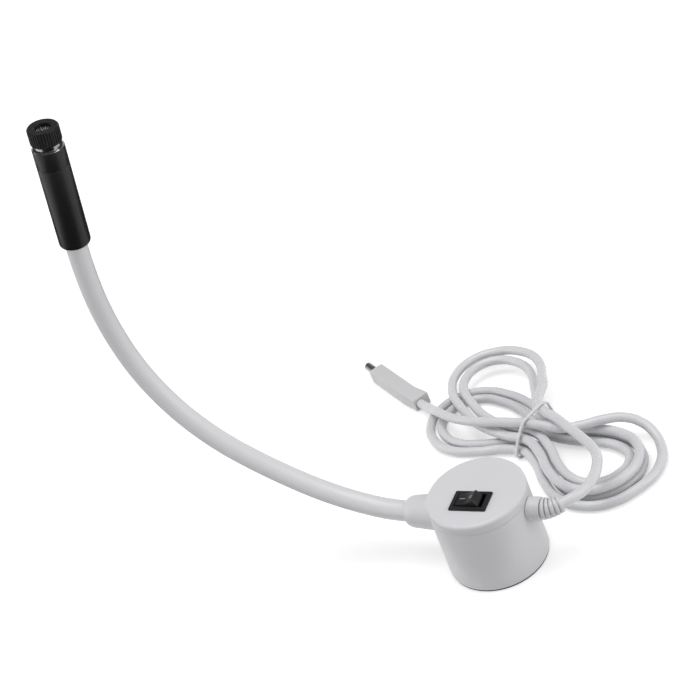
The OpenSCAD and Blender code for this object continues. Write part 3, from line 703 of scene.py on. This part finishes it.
along_neck = Matrix.Translation((0, 0, NECK_Z)) @ Matrix.Rotation(-math.pi / 2, 4, "Y")
shoulder = []
for k in range(SHOULDER_STEPS + 1):
    a = math.pi / 2 * k / SHOULDER_STEPS
    r = COLLAR_MOUTH_R + (COLLAR_R - COLLAR_MOUTH_R) * math.cos(a)
    shoulder.append((r, NECK_OUT + COLLAR_LIP - SHOULDER_L + SHOULDER_L * math.sin(a)))
collar_root = [(SLEEVE_BORE, BORE_R), (COLLAR_ROOT_R, BORE_R)]
collar_shape = revolve(collar_root + shoulder + [(SLEEVE_BORE, NECK_OUT + COLLAR_LIP)])
collar = solid("neck_collar_shell", collar_shape, pale_shell, along_neck)
carve(collar, wall_tool(COLLAR_GAP))
seat(collar, "base", "pale_shell", "neck_collar")
dress(brass, "collar_nut")

# Neck
# A wound steel core that bends in any direction and stays, with the two-core cable inside it and a
# smooth pale PVC sleeve drawn over it.
NECK_RUNS = ((18, 14.0), (42, 15.5), (42, 9.5), (42, 21.0), (42, 21.5), (42, 16.0), (28.5, 6.5))
NECK_BODIES = ("base", "neck_1", "neck_2", "neck_3", "neck_4", "neck_5", "head")
NECK_LINKS = ("root", "1", "2", "3", "4", "5", "tip")
NECK_LENGTH = sum(length for length, turn in NECK_RUNS)
SLEEVE_R = 5.6
SLEEVE_SIDES = 48
CORE_R = 5.05
CORE_SIDES = 32
CORE_OVERRUN = 8.8
RING_STEP = 1.5
BEND_REACH = 17.0
SIDEWAYS = Vector((0, 1, 0))


def inward(heading):
    return Vector((math.sin(heading), 0, math.cos(heading)))


def onward(heading):
    return Vector((-math.cos(heading), 0, math.sin(heading)))


def neck_place(s):
    """The point and heading of the neck's middle line, s past the mouth of the collar."""
    point = Vector((-NECK_OUT, 0, NECK_Z))
    heading = 0.0
    left = s
    for length, turn in NECK_RUNS:
        part = min(max(left, 0), length)
        radius = length / math.radians(turn)
        centre = point + radius * inward(heading)
        heading += part / radius
        point = centre - radius * inward(heading)
        left -= part
    return point + left * onward(heading), heading


def neck_tube(first, last, radius, sides):
    """A closed tube along the neck between two lengths past the mouth of the collar."""
    steps = max(2, round((last - first) / RING_STEP))
    angles = [2 * math.pi * k / sides for k in range(sides)]
    rings = []
    for i in range(steps + 1):
        point, heading = neck_place(first + (last - first) * i / steps)
        across = inward(heading)
        rings.append([point + radius * (math.cos(a) * across + math.sin(a) * SIDEWAYS) for a in angles])
    return skin(rings)


sleeve_pvc = plastic(
    "sleeve_pvc", (0.68, 0.68, 0.70, 1), (0.72, 0.72, 0.74, 1), 0.38, grain=1800.0, bump=0.02)
wound_steel = metal("wound_steel", (0.16, 0.16, 0.17, 1), (0.3, 0.3, 0.31, 1), 0.4)
bends = [sum(length for length, turn in NECK_RUNS[:i + 1]) for i in range(len(NECK_RUNS) - 1)]
joins = [SLEEVE_IN - NECK_OUT] + [(a + b) / 2 for a, b in zip(bends, bends[1:])] + [NECK_LENGTH]
layers = (
    ("neck_sleeve", SLEEVE_R, SLEEVE_SIDES, 0.0, sleeve_pvc, "sleeve_pvc"),
    ("neck_core", CORE_R, CORE_SIDES, CORE_OVERRUN, wound_steel, "wound_steel"))
for i, bend in enumerate(bends):
    bend_point, bend_heading = neck_place(bend)
    middle = bend_point * MM
    way = onward(bend_heading) * BEND_REACH * MM
    for name, radius, sides, overrun, finish, slot in layers:
        end = joins[i + 1] + (overrun if i == len(bends) - 1 else 0)
        tube = solid(f"{name}_bend_{i + 1}", neck_tube(joins[i], end, radius, sides), finish)
        NECK_BODIES[i + 1]
        middle - way
        middle + way
        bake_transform(tube)
        stands_for = [f"{name}_{NECK_LINKS[i]}"]
        if i == len(bends) - 1:
            stands_for.append(f"{name}_{NECK_LINKS[i + 1]}")
        if i == 0 and name == "neck_core":
            stands_for.append("neck_cable")
        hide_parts(*stands_for)

# Head barrel and front sleeve
# Two turned aluminium tubes, black anodised to a satin gloss. The rear edge is rounded over, and the
# sleeve screws into the barrel, which leaves a fine parting line.
HEAD_R = 8.1
HEAD_WALL = 1.2
HEAD_L = 68.0
HEAD_EDGE = 2.0
REAR_HOLE_R = 6.1
REAR_HOLE_EDGE = 0.2
REAR_WALL = 2.0
PARTING_H = 47.0
PARTING_EDGE = 0.22
MOUTH = 56.74
MOUTH_EDGE = 0.08
SPIGOT_LOW = 42.0
SPIGOT_EDGE = 0.2
SPIGOT_GAP = 0.05
TUBE_R = 6.7
TUBE_BORE = 5.8
TUBE_LOW = 48.5
TUBE_GAP = 0.05
ANODISED_GLOSS = 0.32
ANODISED_CLOUD_SCALE = 120.0
ANODISED_CLOUD_GLOSS = 0.08
TURNING_SCALE = 3000.0
TURNING_STRETCH = 60
TURNING_GLOSS = 0.1
TURNING_BUMP = 0.05
TURNING_DEPTH = 0.0001

head_point, head_heading = neck_place(NECK_LENGTH)
in_head = Matrix.Translation(head_point) @ Matrix.Rotation(head_heading - math.pi / 2, 4, "Y")


def anodised(name, dark, light, roughness):
    """Black anodised aluminium: fine turning lines round the axis of the head, and a satin gloss."""
    material, start = blank(name)
    place = start.add("ShaderNodeTexCoord").beside("Object")
    turned = start.add("ShaderNodeMapping", {"vector_type": "TEXTURE"}, {
        "Vector": place,
        "Location": head_point * MM,
        "Rotation": (0, head_heading - math.pi / 2, 0),
        "Scale": (TURNING_STRETCH, TURNING_STRETCH, 1)})
    lines = noise(start, turned, TURNING_SCALE)
    cloud = noise(start, place, ANODISED_CLOUD_SCALE)
    relief = start.add("ShaderNodeBump", {}, {
        "Height": lines, "Strength": TURNING_BUMP, "Distance": TURNING_DEPTH})
    surface = start.add("ShaderNodeBsdfPrincipled", {}, {
        "Base Color": mix(cloud, dark, light),
        "Roughness": roughness + TURNING_GLOSS * (lines - 0.5) + ANODISED_CLOUD_GLOSS * (cloud - 0.5),
        "Specular IOR Level": ANODISED_GLOSS,
        "Normal": relief})
    start.add("ShaderNodeOutputMaterial", {}, {"Surface": surface})
    return material


head_black = anodised("head_black", (0.0095, 0.0085, 0.0088, 1), (0.0125, 0.0112, 0.0116, 1), 0.33)
head_bore = HEAD_R - HEAD_WALL
barrel = solid("head_barrel_tube", revolve(rounded([
    (REAR_HOLE_R, 0, REAR_HOLE_EDGE),
    (HEAD_R, 0, HEAD_EDGE),
    (HEAD_R, PARTING_H, PARTING_EDGE),
    (head_bore, PARTING_H, 0),
    (head_bore, REAR_WALL, 0),
    (REAR_HOLE_R, REAR_WALL, 0)])), head_black, in_head)
seat(barrel, "head", "head_black", "head_barrel")
sleeve = solid("front_sleeve_tube", revolve(rounded([
    (TUBE_BORE, SPIGOT_LOW, 0),
    (head_bore - SPIGOT_GAP, SPIGOT_LOW, SPIGOT_EDGE),
    (head_bore - SPIGOT_GAP, PARTING_H, 0),
    (HEAD_R, PARTING_H, PARTING_EDGE),
    (HEAD_R, MOUTH, MOUTH_EDGE),
    (TUBE_R + TUBE_GAP, MOUTH, 0),
    (TUBE_R + TUBE_GAP, TUBE_LOW, 0),
    (TUBE_BORE, TUBE_LOW, 0)])), head_black, in_head)
seat(sleeve, "head", "head_black", "front_sleeve")

# Light source and driver
# The neck ends in a brass ferrule. Behind the lens sit a small driver board with its parts, a turned
# aluminium heat sink and an LED on a round metal-core board, joined by short wires.
board_green = plastic("board_green", (0.015, 0.09, 0.04, 1), (0.025, 0.13, 0.06, 1), 0.35, coat=0.4)
board_white = plastic("board_white", (0.7, 0.7, 0.69, 1), (0.78, 0.78, 0.77, 1), 0.35)
part_black = plastic("part_black", (0.014, 0.014, 0.015, 1), (0.03, 0.03, 0.031, 1), 0.45)
led_yellow = plastic("led_yellow", (0.75, 0.6, 0.16, 1), (0.85, 0.72, 0.25, 1), 0.25, coat=0.6)
sink_alloy = metal("sink_alloy", (0.55, 0.55, 0.56, 1), (0.7, 0.7, 0.71, 1), 0.38)
dress(brass, "neck_ferrule")
dress(board_green, "driver_board")
dress(part_black, "driver_parts")
dress(wire_red, "head_wires")
dress(sink_alloy, "led_heatsink")
dress(board_white, "led_board")
dress(led_yellow, "led_emitter")

# Lens tube
# A black-nickel-plated brass tube with a focusing thread. It is pressed into the front sleeve up to
# a bevelled shoulder, which shows as a bright ring in the groove below the cap.
TUBE_HIGH = 63.0
TUBE_EDGE = 0.1
TUBE_TOP_EDGE = 0.2
BEVEL_EDGE = 0.05
BEVEL_FOOT = (8.0, 56.75)
BEVEL_TOP = (7.3, 57.45)
dark_nickel = metal("dark_nickel", (0.26, 0.26, 0.27, 1), (0.34, 0.34, 0.35, 1), 0.14)
lens_tube = solid("lens_tube_ring", revolve(rounded([
    (TUBE_BORE, TUBE_LOW, TUBE_EDGE),
    (TUBE_R, TUBE_LOW, TUBE_EDGE),
    (TUBE_R, BEVEL_FOOT[1], 0),
    (*BEVEL_FOOT, BEVEL_EDGE),
    (*BEVEL_TOP, BEVEL_EDGE),
    (TUBE_R, BEVEL_TOP[1], 0),
    (TUBE_R, TUBE_HIGH, TUBE_TOP_EDGE),
    (TUBE_BORE, TUBE_HIGH, TUBE_EDGE)])), dark_nickel, in_head)
seat(lens_tube, "head", "bright_metal", "lens_tube")

# Focus cap
# A black anodised cap with straight ribs cut all the way round for grip. It turns on the lens tube,
# and its face is recessed round a small opening.
CAP_R = 7.9
CAP_LOW = 59.5
CAP_WALL = 66.4
CAP_RIBS = 36
CAP_GROOVE = 0.45
CAP_EDGE = 0.7
CAP_FACE_EDGE = 0.15
CAP_INNER_EDGE = 0.1
APERTURE_R = 3.9
APERTURE_RIM = 0.6
RIB_HALF = 0.32
RIB_EDGE = 0.5
RIB_ROOT = -0.3
RIB_SHOULDER = 0.7
RIB_CREST = 0.5

cap_core_r = CAP_R - CAP_GROOVE
core_edge = CAP_EDGE - CAP_GROOVE
cap = solid("focus_cap_core", revolve(rounded([
    (TUBE_R + TUBE_GAP, CAP_LOW, CAP_INNER_EDGE),
    (cap_core_r, CAP_LOW, core_edge),
    (cap_core_r, HEAD_L - core_edge, 0),
    (cap_core_r - core_edge, HEAD_L, CAP_FACE_EDGE),
    (APERTURE_R + APERTURE_RIM, HEAD_L, CAP_FACE_EDGE),
    (APERTURE_R, HEAD_L - APERTURE_RIM, CAP_INNER_EDGE),
    (APERTURE_R, CAP_WALL, 0),
    (TUBE_R + TUBE_GAP, CAP_WALL, 0)])), head_black, in_head)
seat(cap, "cap", "head_black", "focus_cap")
rib_sections = []
rib_ends = (
    (CAP_LOW + core_edge, 0.0),
    (CAP_LOW + CAP_EDGE, CAP_GROOVE),
    (HEAD_L - CAP_EDGE, CAP_GROOVE),
    (HEAD_L - core_edge, 0.0))
for h, out in rib_ends:
    one_side = [(RIB_ROOT, RIB_EDGE), (out * RIB_SHOULDER, RIB_HALF), (out, RIB_HALF * RIB_CREST)]
    rib_sections.append((one_side + [(x, -y) for x, y in reversed(one_side)], h))
ribs = solid("focus_cap_ribs", loft(rib_sections), head_black)
repeated(ribs, round_copies, {"Count": CAP_RIBS, "Radius": cap_core_r * MM}, head_black)
settle(ribs, in_head)
seat(ribs, "cap", "head_black")

# Lens
# A small biconvex moulded lens in a black cell, held by a ring. Its colour carries painted glints:
# bright specks painted in for the light of the LED.
LENS_R = 4.8
LENS_T = 3.4
LENS_EDGE = 1.2
LENS_H = 64.8
LENS_STEPS = 10
LENS_CREASE = 50
LENS_TURN_STEPS = 64
LENS_DARK = (0.02, 0.02, 0.022, 1)
LENS_PAINTED_GLINT = (0.55, 0.55, 0.56, 1)
LENS_ROUGHNESS = 0.06
GLINT_CELL_SCALE = 1500.0
GLINT_CELL_REACH = 0.36
GLINT_ROUGHNESS = 0.3
GLINT_PATCH_SCALE = 700.0
GLINT_PATCH_FROM = 0.44
lens_glass, start = blank("lens_glass")
place = start.add("ShaderNodeTexCoord").beside("Object")
glint_cells = start.add("ShaderNodeTexVoronoi", {"feature": "F1"}, {"Vector": place, "Scale": GLINT_CELL_SCALE})
glint_patches = noise(start, place, GLINT_PATCH_SCALE)
# Painted glints: bright specks painted into the lens colour, standing for the LED's light
painted_glints = (glint_cells < GLINT_CELL_REACH) * (glint_patches > GLINT_PATCH_FROM)
lens_skin = start.add("ShaderNodeBsdfPrincipled", {}, {
    "Base Color": mix(painted_glints, LENS_DARK, LENS_PAINTED_GLINT),
    "Roughness": LENS_ROUGHNESS + GLINT_ROUGHNESS * painted_glints,
    "Coat Weight": 0.6,
    "Coat Roughness": 0.05})
start.add("ShaderNodeOutputMaterial", {}, {"Surface": lens_skin})

lens_sag = (LENS_T - LENS_EDGE) / 2
lens_outline = []
for k in range(LENS_STEPS + 1):
    r = LENS_R * k / LENS_STEPS
    lens_outline.append((r, LENS_H + LENS_EDGE / 2 + lens_sag * (1 - (r / LENS_R) ** 2)))
lens_outline += [(r, 2 * LENS_H - h) for r, h in reversed(lens_outline)]
lens_shape = revolve(lens_outline, LENS_TURN_STEPS)
lens = solid("lens_disc", lens_shape, lens_glass, in_head, crease=LENS_CREASE)
seat(lens, "lens_carrier", "lens_glass", "lens")
dress(part_black, "lens_cell")
dress(sink_alloy, "lens_retainer")

# Strain relief
# A soft pale PVC grommet moulded onto the cord. A flange holds it inside the wall, a solid root shows
# outside, and the tail, slotted on all but its lower side, bends with the cord.
RELIEF_Z = 33.6
RELIEF_GAP = 0.3
RELIEF_ROOT_R = 6.0
RELIEF_ROOT_X = 33.3
RELIEF_ROOT_EDGE = 0.7
RELIEF_TURN_STEPS = 64
RELIEF_BEND_R = 12.2
RELIEF_BEND = math.radians(45)
RELIEF_CORE_R = 3.6
RELIEF_RIBS = 5
RIB_ARC = math.radians(6.7)
RIB_STEP = math.radians(9)
RIB_FIRST_R = 5.55
RIB_TAPER = 0.275
RIB_ROUND = 0.3
TAIL_STEPS = 24
TAIL_ROOT_STEPS = 2
SPINE_SIDES = 32
SPINE_SIDE = Vector((0, -0.72, -0.69)).normalized()
SPINE_R = 2.6
SPINE_TAPER = 0.9
lengthwise = Matrix.Rotation(math.pi / 2, 4, "Y")
in_relief = Matrix.Translation((0, 0, RELIEF_Z))
at_bend = in_relief @ Matrix.Translation((RELIEF_ROOT_X, 0, 0))


def bend_place(angle):
    """The place on the tail's middle line, from the start of its bend, with X along it."""
    point = RELIEF_BEND_R * Vector((math.sin(angle), 1 - math.cos(angle), 0))
    return Matrix.Translation(point) @ Matrix.Rotation(angle, 4, "Z")


def bent_tube(stations, sides=48, aside=Vector((0, 0, 0)), reach=0.0):
    """A closed tube that follows the bend, from pairs of an angle along it and a radius. With a side
    and a reach it lies to that side, and its skin is as far out as a rib of that radius."""
    turns = [2 * math.pi * k / sides for k in range(sides)]
    rings = []
    for angle, r in stations:
        slimmer = RIB_TAPER * angle / RIB_STEP
        middle = aside * (reach - slimmer - r)
        section = [middle + Vector((0, r * math.cos(a), r * math.sin(a))) for a in turns]
        rings.append([bend_place(angle) @ point for point in section])
    return skin(rings)


def bend_copies(given):
    """Copies at even steps along a bend in the XY plane, each a little slimmer than the last."""
    number = given.add("GeometryNodeInputIndex")
    radius = given.beside("Bend radius")
    angle = given.beside("First angle") + number * given.beside("Angle step")
    along = radius * given.add("ShaderNodeMath", {"operation": "SINE"}, {0: angle})
    aside = radius * (1 - given.add("ShaderNodeMath", {"operation": "COSINE"}, {0: angle}))
    place = given.add("ShaderNodeCombineXYZ", {}, {"X": along, "Y": aside})
    points = given.add("GeometryNodePoints", {}, {"Count": given.beside("Count"), "Position": place})
    turn = given.add("ShaderNodeCombineXYZ", {}, {"Z": angle})
    slim = 1 - number * given.beside("Taper")
    size = given.add("ShaderNodeCombineXYZ", {}, {"X": 1.0, "Y": slim, "Z": slim})
    return given.add("GeometryNodeInstanceOnPoints", {}, {
        "Points": points, "Instance": given, "Rotation": turn, "Scale": size})


relief_pvc = plastic(
    "relief_pvc", (0.63, 0.63, 0.65, 1), (0.66, 0.66, 0.68, 1), 0.4, grain=1800.0, bump=0.02)
root = solid("strain_relief_root", revolve(rounded([
    (0, BORE_R, 0),
    (RELIEF_ROOT_R, BORE_R, 0),
    (RELIEF_ROOT_R, RELIEF_ROOT_X, RELIEF_ROOT_EDGE),
    (0, RELIEF_ROOT_X, 0)]), RELIEF_TURN_STEPS), relief_pvc, in_relief @ lengthwise)
carve(root, wall_tool(RELIEF_GAP))
seat(root, "base", "relief_pvc", "strain_relief")

tail_steps = range(-TAIL_ROOT_STEPS, TAIL_STEPS + 1)
tail_stations = [(RELIEF_BEND * i / TAIL_STEPS, RELIEF_CORE_R) for i in tail_steps]
relief_tail = solid("strain_relief_tail", bent_tube(tail_stations), relief_pvc, at_bend)
seat(relief_tail, "base", "relief_pvc")
spine_stations = []
for i in range(TAIL_STEPS + 1):
    spine_stations.append((RELIEF_BEND * i / TAIL_STEPS, SPINE_R - SPINE_TAPER * i / TAIL_STEPS))
spine_shape = bent_tube(spine_stations, SPINE_SIDES, SPINE_SIDE, RIB_FIRST_R)
spine = solid("strain_relief_spine", spine_shape, relief_pvc, at_bend)
seat(spine, "base", "relief_pvc")
half = RIB_ARC / 2
edge = RIB_ROUND / RELIEF_BEND_R
rib_edge_r = RIB_FIRST_R - RIB_ROUND
rib_round_r = RIB_FIRST_R - RIB_ROUND / 3
relief_ribs = solid("strain_relief_ribs", bent_tube([
    (-half, rib_edge_r),
    (edge / 3 - half, rib_round_r),
    (edge - half, RIB_FIRST_R),
    (half - edge, RIB_FIRST_R),
    (half - edge / 3, rib_round_r),
    (half, rib_edge_r)]), relief_pvc)
repeated(relief_ribs, bend_copies, {
    "Count": RELIEF_RIBS,
    "Bend radius": RELIEF_BEND_R * MM,
    "First angle": RIB_STEP - half,
    "Angle step": RIB_STEP,
    "Taper": RIB_TAPER / RIB_FIRST_R}, relief_pvc)
settle(relief_ribs, at_bend)
seat(relief_ribs, "base", "relief_pvc")

# Cord
# A round two-core cord in smooth pale PVC, 1.69 m from the strain relief to the plug. It arcs over to
# the tie, is wound in a two-layer hank drawn in at the waist, and its end lies across the hank.
CORD_D = 5.5
CORD_STEPS = 6
HANK_MIDDLE = Vector((0, 86, 0))
HANK_ANGLE = math.radians(-30)
HANK_FIRST = 120
HANK_LAST = 1440
HANK_TURN = 720
HANK_RINGS = 24
LOOP_REACH = 66
LOOP_REACH_3 = 6
LOOP_WIDTH = 30
LOOP_WIDTH_3 = 10
LOOP_STEP = 6.8
LOOP_INNER = 1.65
LAYER_H = 6.15
FLOOR_LIFT = 2.8
WAIST_DRAW = 7
WAIST_REACH = 25
WAIST_LIFT = 1.4
WAIST_LIFT_REACH = 16
FAN_START = 45
FAN_LOW = math.radians(10)
FAN_HIGH = math.radians(-16)
REACH_LOW = 1.12
REACH_HIGH = 1.32
SIDE_SLACK = 0.0005
CROSS_FROM = 115
CROSS_TURN = 60
CROSS_END = 180
LAYER_FROM = HANK_TURN - 90
LAYER_TURN = 180


def ease(t):
    t = min(max(t, 0.0), 1.0)
    return t * t * (3 - 2 * t)


def hank_local(degrees):
    """A point of the hank's middle line along it, across it and above the table."""
    a = math.radians(degrees)
    way = Vector((-LOOP_REACH * math.sin(a) - 3 * LOOP_REACH_3 * math.sin(3 * a),
                  LOOP_WIDTH * math.cos(a) + 3 * LOOP_WIDTH_3 * math.cos(3 * a))).normalized()
    inside = (LOOP_INNER - abs(degrees - HANK_TURN) / 360) * LOOP_STEP
    u = LOOP_REACH * math.cos(a) + LOOP_REACH_3 * math.cos(3 * a) - inside * way.y
    v = LOOP_WIDTH * math.sin(a) + LOOP_WIDTH_3 * math.sin(3 * a) + inside * way.x
    side = (math.sin(a) > SIDE_SLACK) - (math.sin(a) < -SIDE_SLACK)
    v -= side * WAIST_DRAW * math.exp(-(u / WAIST_REACH) ** 2)
    low = ease((degrees - LAYER_FROM) / LAYER_TURN)
    far = ease(-u / FAN_START)
    fan = far * (FAN_LOW * low + FAN_HIGH * (1 - low))
    reach = 1 + far * (REACH_LOW * low + REACH_HIGH * (1 - low) - 1)
    over = 1 - ease((degrees - CROSS_FROM) / CROSS_TURN) if degrees < CROSS_END else 0
    lift = WAIST_LIFT * math.exp(-(u / WAIST_LIFT_REACH) ** 2)
    height = FLOOR_LIFT + LAYER_H * (1 - low + over) + lift
    return Matrix.Rotation(fan, 3, "Z") @ Vector((u * reach, v, 0)) + Vector((0, 0, height))


def hank_place(point):
    return HANK_MIDDLE + Matrix.Rotation(HANK_ANGLE, 3, "Z") @ Vector(point)


def hank_point(degrees):
    return hank_place(hank_local(degrees))


def drawn_line(name, points, radius, finish, steps):
    """A line with a thickness, smooth through its points, as a curve object."""
    line = bpy.data.curves.new(name, "CURVE")
    line.dimensions = "3D"
    line.bevel_depth = radius * MM
    line.bevel_resolution = steps
    line.resolution_u = steps
    spline = line.splines.new("BEZIER")
    spline.bezier_points.add(len(points) - 1)
    for knot, point in zip(spline.bezier_points, points):
        knot.co = Vector(point) * MM
        knot.handle_left_type = "AUTO"
        knot.handle_right_type = "AUTO"
    line.materials.append(finish)
    piece = bpy.data.objects.new(name, line)
    bpy.context.scene.collection.objects.link(piece)
    return piece


relief_tip = (at_bend @ bend_place(RELIEF_BEND)).translation
hank_in = (hank_point(HANK_FIRST + 1) - hank_point(HANK_FIRST)).normalized()
hank_out = (hank_point(HANK_LAST) - hank_point(HANK_LAST - 1)).normalized()
PLUG_TAIL = Vector((-89.4, 117, 4.8))
PLUG_ANGLE = math.radians(144.2)
PLUG_SOCKET = 5.0
plug_way = Vector((math.cos(PLUG_ANGLE), math.sin(PLUG_ANGLE), 0))
LEAD = [
    (48, 10, 33.2), (51.2, 17, 32.2), (52.2, 26, 30.8), (51, 36.5, 29.2), (47.2, 47.5, 27.8),
    (41.6, 55.2, 26.8), (34.8, 62, 26), (23, 72.6, 24.8), (12.4, 82.8, 22.6), (3, 91.5, 19.2),
    (-3.5, 100.5, 17.2), (-6.5, 111, 16)]
TAIL_OVER_HANK = [
    (74.5, 10, 2.8), (71, 20, 3), (64, 28.5, 4), (55, 33.5, 6.5), (46, 34, 10), (38, 29.5, 13.6),
    (31, 21, 15.4), (24, 11, 15.8), (15.6, 3.2, 15.8), (6.6, -0.6, 16.6), (-3.8, -4.8, 17),
    (-13.6, -9.2, 16.8), (-22.2, -13.2, 16.4), (-29.4, -16.6, 16), (-36.8, -19.6, 15.6)]
TAIL_TO_PLUG = [(-50.4, 89.8, 14.8), (-59.6, 94.4, 13.2), (-69.2, 101.2, 10.6), (-79.8, 109.6, 7.2)]

route = [relief_tip] + LEAD + [hank_point(HANK_FIRST) - CORD_D * hank_in]
ring_step = 360 // HANK_RINGS
route += [hank_point(a) for a in range(HANK_FIRST, HANK_LAST + 1, ring_step)]
route += [hank_point(HANK_LAST) + CORD_D * hank_out]
route += [hank_place(p) for p in TAIL_OVER_HANK] + TAIL_TO_PLUG
route += [PLUG_TAIL, PLUG_TAIL + PLUG_SOCKET * plug_way]

cord_pvc = plastic(
    "cord_pvc", (0.67, 0.67, 0.69, 1), (0.71, 0.71, 0.73, 1), 0.27, grain=1500.0, bump=0.02)
cord = drawn_line("cord", route, CORD_D / 2, cord_pvc, CORD_STEPS)
cord.data.use_fill_caps = True
seat(cord, "base", "cord_pvc", "cord_lead", "cord_hank", "cord_tail")

# Tie
# A thin flat wire covered in white plastic. It is drawn once round the waist of the hank, with its flat
# side on the strands.
TIE_U = -3.0
TIE_R = 0.62
TIE_FLAT = 0.45
TIE_SLACK = 0.3
TIE_CLEAR = 0.05
TIE_STEPS = 4
TIE_ANGLES = (270, 450, 990, 1170, 1350)
TIE_SPREAD = (-7, 0, 7)
TIE_OVER = ((6.6, 19), (8.4, 18.4), (-3.8, 17), (-5.2, 17))
TIE_POINTS = 28


def hull(points):
    """The convex outline round flat points, in turn."""
    def half(ordered):
        chain = []
        for p in ordered:
            while len(chain) > 1 and (chain[-1] - chain[-2]).cross(p - chain[-2]) <= 0:
                chain.pop()
            chain.append(p)
        return chain[:-1]
    ordered = sorted(points, key=lambda p: (p.x, p.y))
    return half(ordered) + half(ordered[::-1])


waist = [hank_local(a + t) for a in TIE_ANGLES for t in TIE_SPREAD]
bundle = [Vector((p.y, p.z)) for p in waist] + [Vector(p) for p in TIE_OVER]
tie_reach = CORD_D / 2 + TIE_SLACK + TIE_R
around = []
for p in bundle:
    for k in range(TIE_POINTS):
        a = 2 * math.pi * k / TIE_POINTS
        around.append(p + tie_reach * Vector((math.cos(a), math.sin(a))))
tie_white = plastic("tie_white", (0.68, 0.68, 0.69, 1), (0.74, 0.74, 0.75, 1), 0.35)
tie_path = [hank_place((TIE_U, v, max(z, TIE_R + TIE_CLEAR))) for v, z in hull(around)]
tie = drawn_line("hank_tie_wire", tie_path, TIE_R, tie_white, TIE_STEPS)
tie.data.extrude = TIE_FLAT * MM
tie_loop = tie.data.splines[0]
tie_loop.use_cyclic_u = True
for knot in tie_loop.bezier_points:
    knot.tilt = math.pi / 2
seat(tie, "base", "tie_white", "hank_tie")

# Plug
# A long pale PVC moulding that tapers to the cord, with a recess where the cord goes in, and a
# nickel-plated barrel with a black insulator and a centre contact.
PLUG_L = 53.0
PLUG_HALF = (5.1, 4.8)
TAIL_FAR = 7.0
TAIL_NEAR = 4.0
TAIL_HALF_H = 4.5
PLUG_TAIL_L = 14.0
TAIL_ROUND = 0.8
PLUG_CORNER = 1.5
NOSE = 1.6
SOCKET_R = 2.85
SOCKET_LIP = 0.4
SOCKET_FLARE = 0.2
SHANK_R = 2.45
SHANK_L = 8.9
SHANK_GAP = 0.05
PIN_R = 2.75
PIN_BORE = 2.05
PIN_FLOOR = 2.0
PIN_TIP_EDGE = 0.3
PIN_BORE_EDGE = 0.15
PIN_TURN_STEPS = 64
BARREL_L = 11.5
NOSE_STEPS = 6
TAPER_STEPS = 8
PLUG_CREASE = 40
CIRCLE_SHARE = 0.999
in_plug = Matrix.Translation(PLUG_TAIL) @ Matrix.Rotation(PLUG_ANGLE, 4, "Z") @ lengthwise


def round_section(r):
    return rounded_box((r, r), r * CIRCLE_SHARE)


def plug_section(s, by=0.0):
    """Outline of the plug at a distance from its tail, which swells on the far side of the cord."""
    share = ease(s / PLUG_TAIL_L)
    far = TAIL_FAR + (PLUG_HALF[0] - TAIL_FAR) * share
    near = TAIL_NEAR + (PLUG_HALF[0] - TAIL_NEAR) * share
    high = TAIL_HALF_H + (PLUG_HALF[1] - TAIL_HALF_H) * share
    box = rounded_box(inset(((far + near) / 2, high), by), PLUG_CORNER)
    return [(x + (near - far) / 2, y) for x, y in box]


plug_pvc = plastic(
    "plug_pvc", (0.59, 0.59, 0.6, 1), (0.63, 0.63, 0.64, 1), 0.45, grain=1800.0, bump=0.03)
sections = [(round_section(SOCKET_R), PLUG_SOCKET), (round_section(SOCKET_R), SOCKET_LIP)]
sections.append((round_section(SOCKET_R + SOCKET_FLARE), 0.0))
for k in range(NOSE_STEPS + 1):
    a = math.pi / 2 * k / NOSE_STEPS
    by = TAIL_ROUND * (1 - math.sin(a))
    s = TAIL_ROUND * (1 - math.cos(a))
    sections.append((plug_section(s, by), s))
for k in range(1, TAPER_STEPS + 1):
    s = TAIL_ROUND + (PLUG_TAIL_L - TAIL_ROUND) * k / TAPER_STEPS
    sections.append((plug_section(s), s))
for k in range(NOSE_STEPS + 1):
    a = math.pi / 2 * k / NOSE_STEPS
    by = NOSE * (1 - math.cos(a))
    s = PLUG_L - NOSE + NOSE * math.sin(a)
    sections.append((rounded_box(inset(PLUG_HALF, by), PLUG_CORNER), s))
for s in (PLUG_L, PLUG_L - SHANK_L):
    sections.append((round_section(SHANK_R + SHANK_GAP), s))
bright_nickel = metal("bright_nickel", (0.44, 0.44, 0.45, 1), (0.54, 0.54, 0.55, 1), 0.14)
quarter_turn = Matrix.Rotation(math.pi / 2, 4, "Z")
plug = solid("plug_body", loft(sections), plug_pvc, in_plug @ quarter_turn, crease=PLUG_CREASE)
seat(plug, "base", "plug_pvc", "plug_moulding")
pin = solid("plug_pin", revolve(rounded([
    (0, PLUG_L - SHANK_L, 0),
    (SHANK_R, PLUG_L - SHANK_L, 0),
    (SHANK_R, PLUG_L, 0),
    (PIN_R, PLUG_L, 0),
    (PIN_R, PLUG_L + BARREL_L, PIN_TIP_EDGE),
    (PIN_BORE, PLUG_L + BARREL_L, PIN_BORE_EDGE),
    (PIN_BORE, PLUG_L - SHANK_L + PIN_FLOOR, 0),
    (0, PLUG_L - SHANK_L + PIN_FLOOR, 0)]), PIN_TURN_STEPS), bright_nickel, in_plug)
seat(pin, "base", "bright_metal", "plug_barrel")
dress(part_black, "plug_insulator")
dress(brass, "plug_contact")
